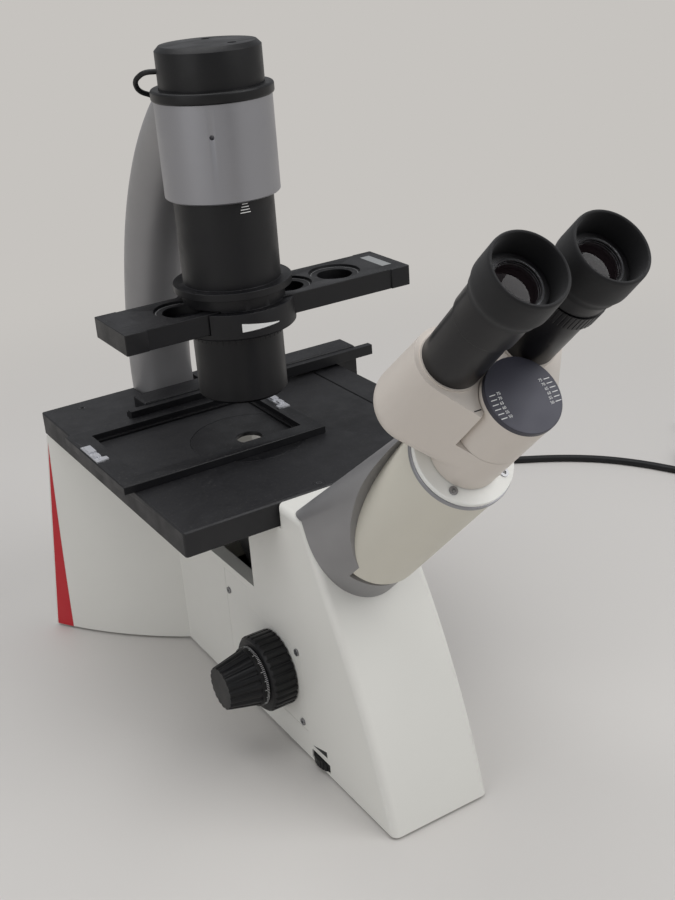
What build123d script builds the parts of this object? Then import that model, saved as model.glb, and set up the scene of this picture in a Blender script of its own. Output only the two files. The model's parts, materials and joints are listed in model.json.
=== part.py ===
from build123d import *
import os
from math import asin, atan2, cos, degrees, pi, radians, sin, sqrt, tan

os.makedirs("parts", exist_ok=True)

# Inverted microscope, millimetres, +Z up, resting on its feet at Z = 0.
# The user sits at -Y. Every place below is measured from the optical axis of the
# objective and condenser, and from the table.

# Gaps
fit_gap = 0.05
seam_gap = 0.15
slide_gap = 0.1
slip_gap = 0.3
overrun = 5.0

# Stand: a front casting, which is the column and the spine, and a rear casting
stand_gap = 2.0
column_half = 38.0
casting_wall = 8.0
inner_half = 27.5
front_foot = 228.0
column_lean = 89.0
column_top = 198.0
belly_shares = (0.239, 0.335)
knee_shares = (0.747, 0.78)
shoulder_back = 60.0
shoulder_drop = 29.0
shoulder_bow_share = 0.72
shoulder_seat = 12.0
spine_top = 113.0
column_round = 5.0

flank_front = 73.0
rear_half = 121.0
rear_corner = 166.0
rear_bulge = 184.0
rear_top_half = 107.0
rear_top_corner = 146.0
rear_top_bulge = 180.0
flank_shares = (0.53, 0.435)
rear_wall = 5.0
flank_wall_share = 1.3
doorway_height = 60.0

# Stage
stage_half = 105.25
stage_front = 107.0
stage_back = 154.0
stage_top = 198.8
stage_thick = 17.7
stage_edge = 1.0
stage_hole = 40.0
stage_relief_half = 62.0
stage_relief_front = 46.0
stage_web = 5.6
insert_radius = 43.4
insert_thick = 3.0
insert_aperture = 9.5
insert_edge = 0.3
arm_notch_half = 26.0
arm_notch_front = 124.0
stage_screw_x = 76.0
stage_screw_rear = 140.0
stage_screw_front = 99.5
side_thread = 1.65
side_thread_depth = 10.0
side_thread_y = 27.7
side_thread_drop = 7.8

# Illumination arm
arm_radius = 25.0
arm_wall = 4.0
arm_foot_y = 149.3
arm_start = (148.0, 173.2)
arm_lean = 10.7
arm_points = ((148.9, 237.5), (131.3, 307.0), (94.4, 377.6), (35.9, 433.5))

# Lamp housing and cap
lamp_bottom = 380.5
lamp_top = 444.0
lamp_radius = 39.3
lamp_roof = 8.0
lamp_window = 22.0
lamp_edge = 0.8
ring_radius = 40.8
ring_height = 7.5
cap_radius = 35.0
cap_top = 478.0
cap_bevel = 3.0
cap_wall = 3.0
cap_hole = 3.0
cap_hole_x = 8.0
cap_hole_y = 19.0
led_radius = 29.0
led_board_thick = 3.0
led_fin_thick = 2.0
led_fin_height = 12.0
led_fin_pitch = 8.0
led_fin_half = 16.0
led_fins = 5
led_die = 3.0
led_dome = 4.0
lamp_screw_radius = 1.6
lamp_screw_z = 424.0
lamp_screw_turn = 239.0

# Condenser: it slides up into the lamp housing
tube_radius = 34.25
tube_wall = 3.0
tube_top = 404.0
flange_bottom = 316.0
flange_thick = 5.0
flange_radius = 41.5
neck_radius = 36.0
head_radius = 42.5
head_bottom = 288.3
head_top = 306.5
aperture_ring_radius = 33.2
aperture_ring_bottom = 282.3
barrel_radius = 32.0
barrel_bottom = 238.0
barrel_wall = 4.0
spigot_radius = 24.0
spigot_wall = 3.0
condenser_glass = 26.0
condenser_glass_thick = 9.0
grip_notch = 0.6
grip_count = 48

# Phase slider
slider_left = 94.6
slider_right = 131.8
slider_half = 26.4
slider_waist = 25.4
slider_bottom = 292.7
slider_top = 307.4
slider_pitch = 41.5
slider_places = (-1, 0, 1, 2)
slider_recess = 19.0
slider_recess_depth = 2.0
slider_ring = 13.0
slider_window = 9.0
slider_grip = 16.0

# Mechanical stage
guide_left = 105.6
guide_right = 130.5
guide_front = 62.0
guide_back = 118.0
guide_thick = 13.8
guide_groove = 5.0
carriage_right = 150.0
carriage_front = 86.0
carriage_back = 107.5
carriage_bottom = 172.0
bar_left = 44.0
bar_right = 148.5
bar_front = 85.5
bar_back = 107.5
bar_bottom = 201.0
bar_top = 211.0
rail_left = 58.7
rail_right = 162.2
rail_front = 79.0
rail_back = 88.5
rail_top = 209.7
tongue_half = 2.2
frame_left = 112.8
frame_right = 47.2
frame_front = 31.5
frame_bottom = 199.1
frame_top = 204.8
opening_left = 96.0
opening_right = 34.0
opening_front = 18.5
opening_back = 67.5
ledge_width = 2.5
ledge_thick = 1.5
clip_length = 26.0
clip_width = 6.5
clip_thick = 1.4
clip_y = 21.0
clip_pivot = 1.6
clip_hook = 3.0
drive_x = 141.0
drive_y = 97.0
drive_upper_radius = 15.0
drive_lower_radius = 12.0
drive_knob_height = 20.0
drive_gap = 1.0
drive_shaft = 3.0
drive_sleeve = 5.0

# Focus drive
focus_y = -87.0
focus_z = 60.5
coarse_radius = 28.0
coarse_start = 39.0
coarse_end = 57.0
coarse_rib = 1.2
coarse_ribs = 30
scale_radius = 21.5
scale_end = 62.5
fine_radius = 20.5
fine_nose = 15.5
fine_end = 85.0
fine_ribs = 18
fine_rib = 1.0
coarse_shaft = 4.5
fine_shaft = 2.5
tooth_module = 0.6
pinion_teeth = 20
rack_teeth = 18
tooth_wide_share = 0.40
tooth_tall_share = 1.1
tooth_gap = 0.15
leg_inner = 13.5
leg_thick = 6.0
leg_depth = 8.0
leg_bottom = 38.0
leg_top = 98.0
focus_travel_down = 4.0
bracket_cheek = 6.5
bracket_front = 101.0
bracket_back = 60.0
bracket_top = 78.0

# Nosepiece
seat_height = 155.0
turret_tilt = 15.0
turret_pitch = 20.0
turret_radius = 34.0
turret_thick = 13.0
turret_seat_depth = 1.5
turret_bearing = 6.0
turret_grips = 24
turret_grip = 1.0
turret_boss = 9.0
objective_radius = 11.0
objective_lengths = (22.0, 28.0, 34.0, 38.5)
objective_tips = (8.0, 7.0, 6.5, 6.0)
objective_bore = 5.0
objective_groove = 0.7
objective_body_share = 0.6
carrier_plate = 26.0
carrier_thick = 9.0
carrier_bar_z = 90.0
carrier_back = 34.0
light_radius = 10.0
light_bore = 15.0

# Optics in the stand
mirror_half_x = 16.0
mirror_half_y = 14.0
mirror_thick = 4.0
fold_height = 15.0
view_angle = 45.0

# Base plate and feet
plate_thick = 2.0
plate_gap = 0.5
foot_radius = 9.0
foot_sink = 0.6
foot_front_y = 206.0
foot_front_x = 18.0
foot_rear_x = 84.0
foot_rear_y = 140.0

# Side covers and their screws
cover_thick = 1.6
cover_front = 122.0
cover_back = 12.0
cover_bottom = 24.0
cover_low_top = 90.0
cover_step = 47.0
cover_high_top = 107.0
cover_hole = 12.0
screw_head = 2.6
screw_head_thick = 1.2
screw_socket = 1.2
socket_sides = 6
screw_shank = 1.4
cap_screw_head = 3.8
cap_screw_thick = 3.6
cap_screw_socket = 1.8

# Brightness wheel
wheel_y = 138.0
wheel_x = 23.0
wheel_radius = 18.0
wheel_bottom = 4.6
wheel_thick = 6.0
wheel_notches = 36
wheel_notch = 0.5
wheel_pin = 2.0
slot_half = 12.0
slot_top = 11.2

# Inlet and switch
inlet_half = 31.0
inlet_low = 30.0
inlet_high = 58.0
inlet_flange = 2.5
inlet_depth = 22.0
socket_x = -12.0
socket_half = 12.5
socket_height = 17.0
socket_depth = 15.0
pin_pitch = 7.0
pin_half = 1.0
pin_tall = 4.0
pin_length = 10.0
rocker_x = 18.0
rocker_half = 6.5
rocker_height = 18.0
rocker_depth = 9.0
rocker_throw = 8.0
rocker_pin = 1.2

# Viewing tube, which leans towards the user and up
view_origin_y = -261.0
view_radius = 30.0
view_wall = 4.0
view_low = 135.0
view_round = 8.0
collar_base = 152.0
collar_half = 38.0
collar_mid = 22.0
collar_low = 28.2
collar_high = 42.0
collar_corner = 9.0
collar_rim = 30.6
collar_sink = 30.0
collar_scoop = ((-187.5, 160.0), (-197.4, 226.5), (-239.8, 290.1))
ring_plane = 3.0
silver_rim = 30.9
head_flange_radius = 30.0
head_flange_thick = 3.3
head_flange_screw = 24.5
head_flange_screw_turns = (-135.0, -45.0, 45.0, 135.0)
lens_radius = 18.0
lens_thick = 6.0
lens_place = 62.0
lens_lip = 2.0

# Binocular head
spindle_radius = 12.0
spindle_wall = 2.0
spindle_window = 6.0
dial_radius = 21.6
dial_low = 70.9
dial_top = 74.2
dial_edge = 0.2
hub_radius = 21.3
hub_low = 4.0
hub_split = 37.0
hub_top = 70.6
prism_top = 67.5
prism_end_radius = 20.2
prism_foot_radius = 24.6
prism_notch = 13.3
prism_notch_depth = 5.0
pupil_offset_x = 24.35
pupil_offset_n = 30.4
prism_round = 18.0
prism_half = 10.0
prism_middle = 52.0
sleeve_radius = 16.4
sleeve_seat = 17.4
sleeve_seat_high = 1.0
sleeve_top = 108.0
sleeve_bore = 15.0
eyepiece_low = 84.0
eyepiece_wall = 2.0
eyepiece_radius = 17.6
eyepiece_shoulder = 127.5
eyepiece_neck = 16.0
eyepiece_top = 140.0
diopter_top = 118.0
diopter_bore = 16.0
diopter_radius = 18.4
eye_lens_radius = 12.2
eye_lens_thick = 5.0
cup_base = 19.2
cup_belly = 20.8
cup_belly_at = 134.0
cup_rim = 20.2
cup_top = 153.5
cup_inner = 18.4
cup_floor = 3.0

# Mains lead, its plug and the lead of the lamp
lead_diameter = 7.0
lead_length = 1800.0
lead_exit_y = 250.0
lead_height = 44.0
connector_half = 12.0
connector_tall = 16.0
connector_body = 26.0
connector_nose = 14.0
connector_collar = 2.0
relief_start = 5.5
relief_end = 3.9
bend_share = 0.45
lead_route = (
    (-12.0, 272.0, 44.0), (-8.0, 295.0, 36.0), (4.0, 317.0, 19.0),
    (26.0, 336.0, 5.0), (56.0, 346.0, 3.5), (92.0, 343.0, 3.5), (136.0, 326.0, 3.5),
    (184.0, 298.0, 3.5), (233.0, 269.0, 3.5), (284.0, 234.0, 3.5), (334.0, 203.0, 3.5),
    (384.0, 163.5, 3.5), (418.0, 141.5, 3.5), (452.0, 111.0, 3.5), (477.0, 75.0, 3.5),
    (494.0, 38.0, 3.5),
)
lead_end = (509.0, 3.0, 3.5)
coil_radius = 38.5
coil_rows = 2
coil_layers = 3
plug_half = 13.0
plug_tall = 21.0
plug_body = 38.0
plug_relief = 40.0
plug_blade = 17.0
lamp_lead_diameter = 3.5
lamp_lead_route = (
    (-27.5, 20.5, 461.5), (-35.5, 26.5, 461.5), (-38.6, 36.5, 455.6), (-33.4, 43.4, 447.3),
    (-22.0, 44.0, 443.0), (-10.0, 52.0, 425.0),
)

# Frame: the origin is at the middle of the footprint, the optical axis beside it
stage_bottom = stage_top - stage_thick
slant = radians(view_angle)
view_reach = -view_origin_y
view_height = fold_height + view_reach
eye_reach = view_reach + cup_top * sin(slant) - pupil_offset_n * cos(slant) + cup_rim * cos(slant)
axis_x = (rear_half - rail_right) / 2
axis_y = (eye_reach - rear_bulge - inlet_flange) / 2


def level(height, x=0, y=0):
    """A horizontal plane at a height, with its origin at (x, y) from the optical axis."""
    return Plane(origin=(axis_x + x, axis_y + y, height), x_dir=(1, 0, 0), z_dir=(0, 0, 1))


def upright(x):
    """A plane across the width: local x is Y, local y is Z, and it faces +X."""
    return Plane(origin=(axis_x + x, axis_y, 0), x_dir=(0, 1, 0), z_dir=(1, 0, 0))


def facing_back(y, x=0):
    """A plane that faces +Y: local x is -X and local y is Z."""
    return Plane(origin=(axis_x + x, axis_y + y, 0), x_dir=(-1, 0, 0), z_dir=(0, 1, 0))


def viewing(along, x=0, across=0):
    """A plane square to the viewing tube, at a distance along it and beside its axis."""
    rise = Vector(0, -sin(slant), cos(slant))
    side = Vector(0, cos(slant), sin(slant))
    foot = Vector(axis_x + x, axis_y + view_origin_y, view_height)
    return Plane(origin=foot + rise * along + side * across, x_dir=(1, 0, 0), z_dir=rise)


def place(point):
    """A point of a route, from the optical axis to the part's own frame."""
    return (axis_x + point[0], axis_y + point[1], point[2])


def disc(plane, radius, height, bore=0, mode=Mode.ADD):
    """A round plate or a ring that stands on a plane."""
    with BuildSketch(plane) as face:
        Circle(radius)
        if bore:
            Circle(bore, mode=Mode.SUBTRACT)
    extrude(face.sketch, amount=height, mode=mode)


def cone(plane, radius, end_radius, height, mode=Mode.ADD):
    """A tapered round plug on a plane."""
    with BuildSketch(plane) as near:
        Circle(radius)
    with BuildSketch(plane.offset(height)) as far:
        Circle(end_radius)
    loft([near.sketch.face(), far.sketch.face()], mode=mode)


def bar(plane, low, high, height, mode=Mode.ADD):
    """A block on a plane, between two corners given in the plane's own axes."""
    with BuildSketch(plane) as face:
        with Locations(((low[0] + high[0]) / 2, (low[1] + high[1]) / 2)):
            Rectangle(high[0] - low[0], high[1] - low[1])
    extrude(face.sketch, amount=height, mode=mode)


def slab(plane, points, height, mode=Mode.ADD):
    """A plate on a plane, with a straight-sided outline."""
    with BuildSketch(plane) as face:
        with BuildLine():
            Polyline(*points, close=True)
        make_face()
    extrude(face.sketch, amount=height, mode=mode)


def grip_cuts(plane, radius, height, notch, count):
    """Round grip notches along the edge of a knob or ring."""
    with BuildSketch(plane) as face:
        with PolarLocations(radius, count):
            Circle(notch)
    extrude(face.sketch, amount=height, mode=Mode.SUBTRACT)


def at_side(shape, x_side):
    """The edges of a shape that lie in an upright plane at x_side."""
    near = axis_x + x_side - fit_gap
    far = axis_x + x_side + fit_gap
    return shape.edges().filter_by_position(Axis.X, near, far)


def save(piece, name):
    """Names a finished piece and writes it."""
    piece.part.label = name
    export_step(piece.part, f"parts/{name}.step")


def column_point(shares):
    """A point of the column's front: how far it leans back and how high it is, as shares."""
    return (-front_foot + shares[0] * column_lean, shares[1] * column_top)


def front_outline():
    """The side outline of the front casting: foot, leaning front, shoulder and spine."""
    seat_front = -stage_front - slip_gap
    foot = (-front_foot, stand_gap)
    knee = column_point(knee_shares)
    crown = column_point((1, 1))
    Line((flank_front, stand_gap), foot)
    ThreePointArc(foot, column_point(belly_shares), knee)
    Line(knee, crown)
    Line(crown, (seat_front, column_top))
    Line((seat_front, column_top), (seat_front, stage_bottom))
    seat_back = (seat_front + shoulder_seat, stage_bottom)
    Line((seat_front, stage_bottom), seat_back)
    edge = (-shoulder_back, stage_bottom - shoulder_drop)
    middle = (edge[0] - shoulder_drop / 2, edge[1] + shoulder_drop * shoulder_bow_share)
    ThreePointArc(seat_back, middle, edge)
    Line(edge, (-shoulder_back, spine_top))
    Line((-shoulder_back, spine_top), (flank_front, spine_top))
    Line((flank_front, spine_top), (flank_front, stand_gap))


def cover_outline(gap):
    """The outline of a side cover in the upright plane, grown by a gap."""
    return (
        (-cover_front - gap, cover_bottom - gap), (-cover_front - gap, cover_low_top + gap),
        (-cover_step - gap, cover_low_top + gap), (-cover_step - gap, cover_high_top + gap),
        (-cover_back + gap, cover_high_top + gap), (-cover_back + gap, cover_bottom - gap),
    )


# Front casting
with BuildPart() as front_housing:
    with BuildSketch(upright(-column_half)):
        with BuildLine():
            front_outline()
        make_face()
    extrude(amount=2 * column_half)
    ahead = axis_y - stage_front
    skin = at_side(front_housing, -column_half) + at_side(front_housing, column_half)
    fillet(skin.filter_by(lambda e: e.center().Y < ahead and e.center().Z > 2 * stand_gap), column_round)
    with BuildSketch(upright(-inner_half)) as hollow:
        with BuildLine():
            front_outline()
        make_face()
        offset(amount=-casting_wall)
    extrude(hollow.sketch, amount=2 * inner_half, mode=Mode.SUBTRACT)
    bar(level(0), (-inner_half, -front_foot + 2 * casting_wall), (inner_half, flank_front + overrun),
        stand_gap + casting_wall + overrun, mode=Mode.SUBTRACT)
    bar(level(stand_gap), (-inner_half, -shoulder_back + casting_wall), (inner_half, flank_front + overrun),
        spine_top, mode=Mode.SUBTRACT)
    disc(viewing(-collar_base - collar_sink), light_bore, collar_base, mode=Mode.SUBTRACT)
    with BuildSketch(upright(-column_half - overrun)) as shaft_hole:
        with Locations((focus_y, focus_z)):
            Circle(coarse_shaft + slip_gap)
    extrude(shaft_hole.sketch, amount=2 * (column_half + overrun), mode=Mode.SUBTRACT)
    bar(level(stand_gap + plate_thick + seam_gap), (-column_half - overrun, -wheel_y - slot_half),
        (-inner_half + overrun, -wheel_y + slot_half), slot_top - stand_gap - plate_thick, mode=Mode.SUBTRACT)
    disc(level(stand_gap + plate_thick + seam_gap, -wheel_x, -wheel_y), wheel_radius + slip_gap,
         slot_top - stand_gap - plate_thick, mode=Mode.SUBTRACT)
    for outer, reach in ((-column_half, cover_thick), (column_half, -cover_thick)):
        slab(upright(outer), cover_outline(seam_gap), reach, mode=Mode.SUBTRACT)
save(front_housing, "front_housing")


def rear_outline(half, corner, bulge, wall=0):
    """The plan of the rear casting: straight front, curved flanks and a rounded back."""
    front = column_half - wall
    side = half - wall * flank_wall_share
    back = corner - wall
    start = flank_front + wall
    bow = (front + (side - front) * flank_shares[0], start + (back - start) * flank_shares[1])
    Line((-front, start), (front, start))
    ThreePointArc((front, start), bow, (side, back))
    ThreePointArc((side, back), (0, bulge - wall), (-side, back))
    ThreePointArc((-side, back), (-bow[0], bow[1]), (-front, start))


def rear_block(low, high, wall):
    """The leaning block between two heights, drawn in by a wall."""
    with BuildSketch(level(low)) as foot:
        with BuildLine():
            rear_outline(rear_half, rear_corner, rear_bulge, wall)
        make_face()
    with BuildSketch(level(high)) as head:
        with BuildLine():
            rear_outline(rear_top_half, rear_top_corner, rear_top_bulge, wall)
        make_face()
    return [foot.sketch.face(), head.sketch.face()]


# Rear casting
with BuildPart() as rear_housing:
    loft(rear_block(stand_gap, stage_bottom, 0), ruled=True)
    loft(rear_block(0, stage_bottom - rear_wall, rear_wall), ruled=True, mode=Mode.SUBTRACT)
    bar(level(0), (-inner_half, flank_front - overrun), (inner_half, flank_front + rear_wall + overrun),
        doorway_height, mode=Mode.SUBTRACT)
    disc(level(stage_bottom - 2 * rear_wall, 0, arm_foot_y), arm_radius - arm_wall, 3 * rear_wall,
         mode=Mode.SUBTRACT)
    bar(facing_back(rear_bulge - inlet_depth), (-inlet_half + inlet_flange, inlet_low + inlet_flange),
        (inlet_half - inlet_flange, inlet_high - inlet_flange), inlet_depth + overrun, mode=Mode.SUBTRACT)
    for x in (-stage_screw_x, stage_screw_x):
        disc(level(stage_bottom - rear_wall, x, stage_screw_rear), screw_shank + fit_gap, 2 * rear_wall,
             mode=Mode.SUBTRACT)
save(rear_housing, "rear_housing")

# Base plate, with the wedge that carries the folding mirror and the wheel's pin
plate_top = stand_gap + plate_thick
fold = slant / 2
mirror_run = (cos(fold), sin(fold))
mirror_back = (sin(fold) * mirror_thick, -cos(fold) * mirror_thick)
wedge_low = (-mirror_half_y * mirror_run[0] + mirror_back[0],
             fold_height - mirror_half_y * mirror_run[1] + mirror_back[1])
wedge_high = (mirror_half_y * mirror_run[0] + mirror_back[0],
              fold_height + mirror_half_y * mirror_run[1] + mirror_back[1])
with BuildPart() as base_plate:
    bar(level(stand_gap), (-inner_half + plate_gap, -front_foot + 2 * casting_wall + plate_gap),
        (inner_half - plate_gap, flank_front + 2 * rear_wall), plate_thick)
    with BuildSketch(level(stand_gap)) as rear_plate:
        with BuildLine():
            rear_outline(rear_half, rear_corner, rear_bulge, rear_wall + plate_gap)
        make_face()
    extrude(rear_plate.sketch, amount=plate_thick)
    slab(upright(-mirror_half_x),
         ((wedge_low[0], stand_gap), wedge_low, wedge_high, (wedge_high[0], stand_gap)),
         2 * mirror_half_x)
    disc(level(stand_gap, -wheel_x, -wheel_y), wheel_pin, wheel_bottom - stand_gap + wheel_thick)
    disc(level(stand_gap, -wheel_x, -wheel_y), 2 * wheel_pin, wheel_bottom - stand_gap - fit_gap)
save(base_plate, "base_plate")

# Four feet, under the corners of both castings
foot_places = (
    (-foot_front_x, -foot_front_y), (foot_front_x, -foot_front_y),
    (-foot_rear_x, foot_rear_y), (foot_rear_x, foot_rear_y),
)
with BuildPart() as rubber_feet:
    for x, y in foot_places:
        disc(level(0, x, y), foot_radius, stand_gap)
    chamfer(rubber_feet.faces().filter_by(Axis.Z).group_by(Axis.Z)[0].edges(), foot_sink)
save(rubber_feet, "rubber_feet")

mirror_plane = Plane(
    origin=(axis_x, axis_y, fold_height), x_dir=(1, 0, 0), z_dir=(0, -sin(fold), cos(fold))
)
with BuildPart() as folding_mirror:
    bar(mirror_plane, (-mirror_half_x, -mirror_half_y), (mirror_half_x, mirror_half_y), -mirror_thick)
save(folding_mirror, "folding_mirror")

# Side covers, one on each face of the front casting
with BuildPart() as side_covers:
    for outer, reach in ((-column_half, cover_thick), (column_half, -cover_thick)):
        slab(upright(outer), cover_outline(0), reach)
        with BuildSketch(upright(outer - reach)) as knob_hole:
            with Locations((focus_y, focus_z)):
                Circle(cover_hole)
        extrude(knob_hole.sketch, amount=3 * reach, mode=Mode.SUBTRACT)
save(side_covers, "side_covers")

# Screws: three on each side cover, three in the stage, four in the head's flange
stage_screws = (
    (-stage_screw_x, stage_screw_rear), (stage_screw_x, stage_screw_rear), (0, -stage_screw_front),
)
cover_screws = (
    (-cover_back - 2 * screw_head, cover_low_top),
    (-cover_front + 2 * screw_head, cover_low_top - screw_head),
    (-cover_front + 2 * screw_head, cover_bottom + 2 * screw_head),
)
with BuildPart() as machine_screws:
    for y, z in cover_screws:
        for outer, way in ((-column_half, -1), (column_half, 1)):
            plane = Plane(origin=(axis_x + outer, axis_y + y, z), x_dir=(0, 1, 0), z_dir=(way, 0, 0))
            disc(plane, screw_head, screw_head_thick)
            with BuildSketch(plane.offset(screw_head_thick)) as socket:
                RegularPolygon(screw_socket, socket_sides)
            extrude(socket.sketch, amount=-screw_head_thick / 2, mode=Mode.SUBTRACT)
    for x, y in stage_screws:
        top = level(stage_top - seam_gap, x, y)
        disc(top, cap_screw_head, -cap_screw_thick)
        disc(top.offset(-cap_screw_thick), screw_shank, -(stage_thick - cap_screw_thick - 2 * seam_gap))
        with BuildSketch(top) as socket:
            RegularPolygon(cap_screw_socket, socket_sides)
        extrude(socket.sketch, amount=-cap_screw_thick / 2, mode=Mode.SUBTRACT)
    for turn in head_flange_screw_turns:
        spot = viewing(head_flange_thick, head_flange_screw * cos(radians(turn)),
                       head_flange_screw * sin(radians(turn)))
        disc(spot, screw_head, screw_head_thick / 2)
        disc(spot, screw_shank, -head_flange_thick)
        with BuildSketch(spot.offset(screw_head_thick / 2)) as socket:
            RegularPolygon(screw_socket, socket_sides)
        extrude(socket.sketch, amount=-screw_head_thick / 2, mode=Mode.SUBTRACT)
save(machine_screws, "machine_screws")

# Inlet and switch module in the back
with BuildPart() as power_inlet:
    back = rear_bulge
    bar(facing_back(back), (-inlet_half, inlet_low), (inlet_half, inlet_high), inlet_flange)
    bar(facing_back(back), (-inlet_half + inlet_flange + seam_gap, inlet_low + inlet_flange + seam_gap),
        (inlet_half - inlet_flange - seam_gap, inlet_high - inlet_flange - seam_gap), -inlet_depth + overrun)
    inlet_middle = (inlet_low + inlet_high) / 2
    bar(facing_back(back + inlet_flange), (-socket_x - socket_half, inlet_middle - socket_height / 2),
        (-socket_x + socket_half, inlet_middle + socket_height / 2), -socket_depth, mode=Mode.SUBTRACT)
    for side, rise in ((-1, 1), (0, -1), (1, 1)):
        centre = (-socket_x + side * pin_pitch, inlet_middle - rise * pin_half)
        bar(facing_back(back + inlet_flange - socket_depth), (centre[0] - pin_half, centre[1] - pin_tall / 2),
            (centre[0] + pin_half, centre[1] + pin_tall / 2), pin_length)
    rocker_low = (-rocker_x - rocker_half - slip_gap, inlet_middle - rocker_height / 2 - slip_gap)
    rocker_high = (-rocker_x + rocker_half + slip_gap, inlet_middle + rocker_height / 2 + slip_gap)
    bar(facing_back(back + inlet_flange), rocker_low, rocker_high, -rocker_depth - rocker_half,
        mode=Mode.SUBTRACT)
save(power_inlet, "power_inlet")

# Rocker of the power switch: its two faces meet at the pivot's height
rocker_pivot_y = rear_bulge - rocker_depth / 2
with BuildPart() as power_switch:
    tip = rear_bulge + inlet_flange
    low = inlet_middle - rocker_height / 2
    high = inlet_middle + rocker_height / 2
    sink = rocker_height / 2 * tan(radians(rocker_throw))
    slab(upright(rocker_x - rocker_half),
         ((tip, low + sink), (tip - sink / 2, inlet_middle), (tip, high - sink),
          (rocker_pivot_y, high - 2 * sink), (rocker_pivot_y - rocker_half / 2, inlet_middle),
          (rocker_pivot_y, low + 2 * sink)),
         2 * rocker_half)
    with BuildSketch(upright(rocker_x - rocker_half)) as pivot:
        with Locations((rocker_pivot_y, inlet_middle)):
            Circle(rocker_pin)
    extrude(pivot.sketch, amount=2 * rocker_half, mode=Mode.SUBTRACT)
save(power_switch, "power_switch")

# Brightness wheel on its pin, standing out of the slot in the left face
with BuildPart() as brightness_wheel:
    wheel_plane = level(wheel_bottom, -wheel_x, -wheel_y)
    disc(wheel_plane, wheel_radius, wheel_thick, bore=wheel_pin + fit_gap)
    grip_cuts(wheel_plane, wheel_radius, wheel_thick, wheel_notch, wheel_notches)
save(brightness_wheel, "brightness_wheel")

# Stage plate
with BuildPart() as stage_plate:
    bar(level(stage_bottom), (-stage_half, -stage_front), (stage_half, stage_back), stage_thick)
    chamfer(stage_plate.faces().sort_by(Axis.Z)[-1].edges(), stage_edge)
    fillet(stage_plate.edges().filter_by(Axis.Z), 2 * stage_edge)
    bar(level(stage_bottom), (-arm_notch_half, arm_notch_front), (arm_notch_half, stage_back + overrun),
        stage_thick, mode=Mode.SUBTRACT)
    disc(level(stage_bottom), stage_hole, stage_thick, mode=Mode.SUBTRACT)
    bar(level(stage_bottom), (-stage_relief_half, -stage_relief_front),
        (stage_relief_half, arm_notch_front + overrun), stage_thick - stage_web, mode=Mode.SUBTRACT)
    disc(level(stage_top - insert_thick - seam_gap), insert_radius + seam_gap, overrun, mode=Mode.SUBTRACT)
    for x, y in stage_screws:
        disc(level(stage_bottom, x, y), screw_shank + fit_gap, stage_thick, mode=Mode.SUBTRACT)
        disc(level(stage_top - cap_screw_thick - seam_gap, x, y), cap_screw_head + seam_gap, overrun,
             mode=Mode.SUBTRACT)
    with BuildSketch(upright(-stage_half)) as thread:
        with Locations((side_thread_y, stage_top - side_thread_drop)):
            Circle(side_thread)
    extrude(thread.sketch, amount=side_thread_depth, mode=Mode.SUBTRACT)
save(stage_plate, "stage_plate")

with BuildPart() as stage_insert:
    disc(level(stage_top - insert_thick), insert_radius, insert_thick, bore=insert_aperture)
    chamfer(stage_insert.edges().filter_by(GeomType.CIRCLE).group_by(Axis.Z)[-1], insert_edge)
save(stage_insert, "stage_insert")


def arm_path():
    """The arm's centre line in the upright plane: arcs that run into each other."""
    y, z = arm_start
    heading = radians(90 - arm_lean)
    for far_y, far_z in arm_points:
        chord_y, chord_z = far_y - y, far_z - z
        half_turn = atan2(chord_z, chord_y) - heading
        bulge = tan(half_turn / 2) / 2
        middle = ((y + far_y) / 2 + chord_z * bulge, (z + far_z) / 2 - chord_y * bulge)
        ThreePointArc((y, z), middle, (far_y, far_z))
        heading += 2 * half_turn
        y, z = far_y, far_z


# Illumination arm: a curved tube between the rear casting and the lamp housing
with BuildPart() as illumination_arm:
    with BuildLine(upright(0)) as arm_line:
        arm_path()
    arm_root = Plane(origin=arm_line.line @ 0, x_dir=(1, 0, 0), z_dir=arm_line.line % 0)
    with BuildSketch(arm_root) as arm_section:
        Circle(arm_radius)
    sweep(arm_section.sketch, path=arm_line.line)
    with BuildSketch(arm_root) as arm_hollow:
        Circle(arm_radius - arm_wall)
    sweep(arm_hollow.sketch, path=arm_line.line, mode=Mode.SUBTRACT)
    disc(level(0, 0, arm_foot_y), 2 * arm_radius, stage_bottom, mode=Mode.SUBTRACT)
    disc(level(0), lamp_radius + fit_gap, 2 * lamp_top, mode=Mode.SUBTRACT)
    disc(level(lamp_top), 3 * arm_radius, 2 * arm_radius, mode=Mode.SUBTRACT)
    lead_in = Vector(*lamp_lead_route[-1]) - Vector(*lamp_lead_route[-2])
    lead_entry = Plane(origin=place(lamp_lead_route[-1]), z_dir=lead_in)
    disc(lead_entry.offset(overrun), lamp_lead_diameter / 2 + 2 * slip_gap, -lead_in.length - 4 * overrun,
         mode=Mode.SUBTRACT)
save(illumination_arm, "illumination_arm")

# Lamp housing: the condenser tube slides in it, under the lamp
lamp_bore = tube_radius + fit_gap
screw_x = lamp_radius * cos(radians(lamp_screw_turn))
screw_y = lamp_radius * sin(radians(lamp_screw_turn))
screw_plane = Plane(
    origin=(axis_x + screw_x, axis_y + screw_y, lamp_screw_z), x_dir=(0, 0, 1), z_dir=(screw_x, screw_y, 0)
)
with BuildPart() as lamp_housing:
    disc(level(lamp_bottom), lamp_radius, lamp_top - lamp_bottom)
    disc(level(lamp_bottom), lamp_bore, lamp_top - lamp_bottom - lamp_roof, mode=Mode.SUBTRACT)
    disc(level(lamp_bottom), lamp_window, lamp_top - lamp_bottom, mode=Mode.SUBTRACT)
    mouth = lamp_housing.edges().filter_by(GeomType.CIRCLE).group_by(Axis.Z)[0]
    chamfer(mouth.sort_by(SortBy.RADIUS)[-1], lamp_edge)
    disc(screw_plane.offset(overrun), lamp_screw_radius, -2 * overrun, mode=Mode.SUBTRACT)
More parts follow.
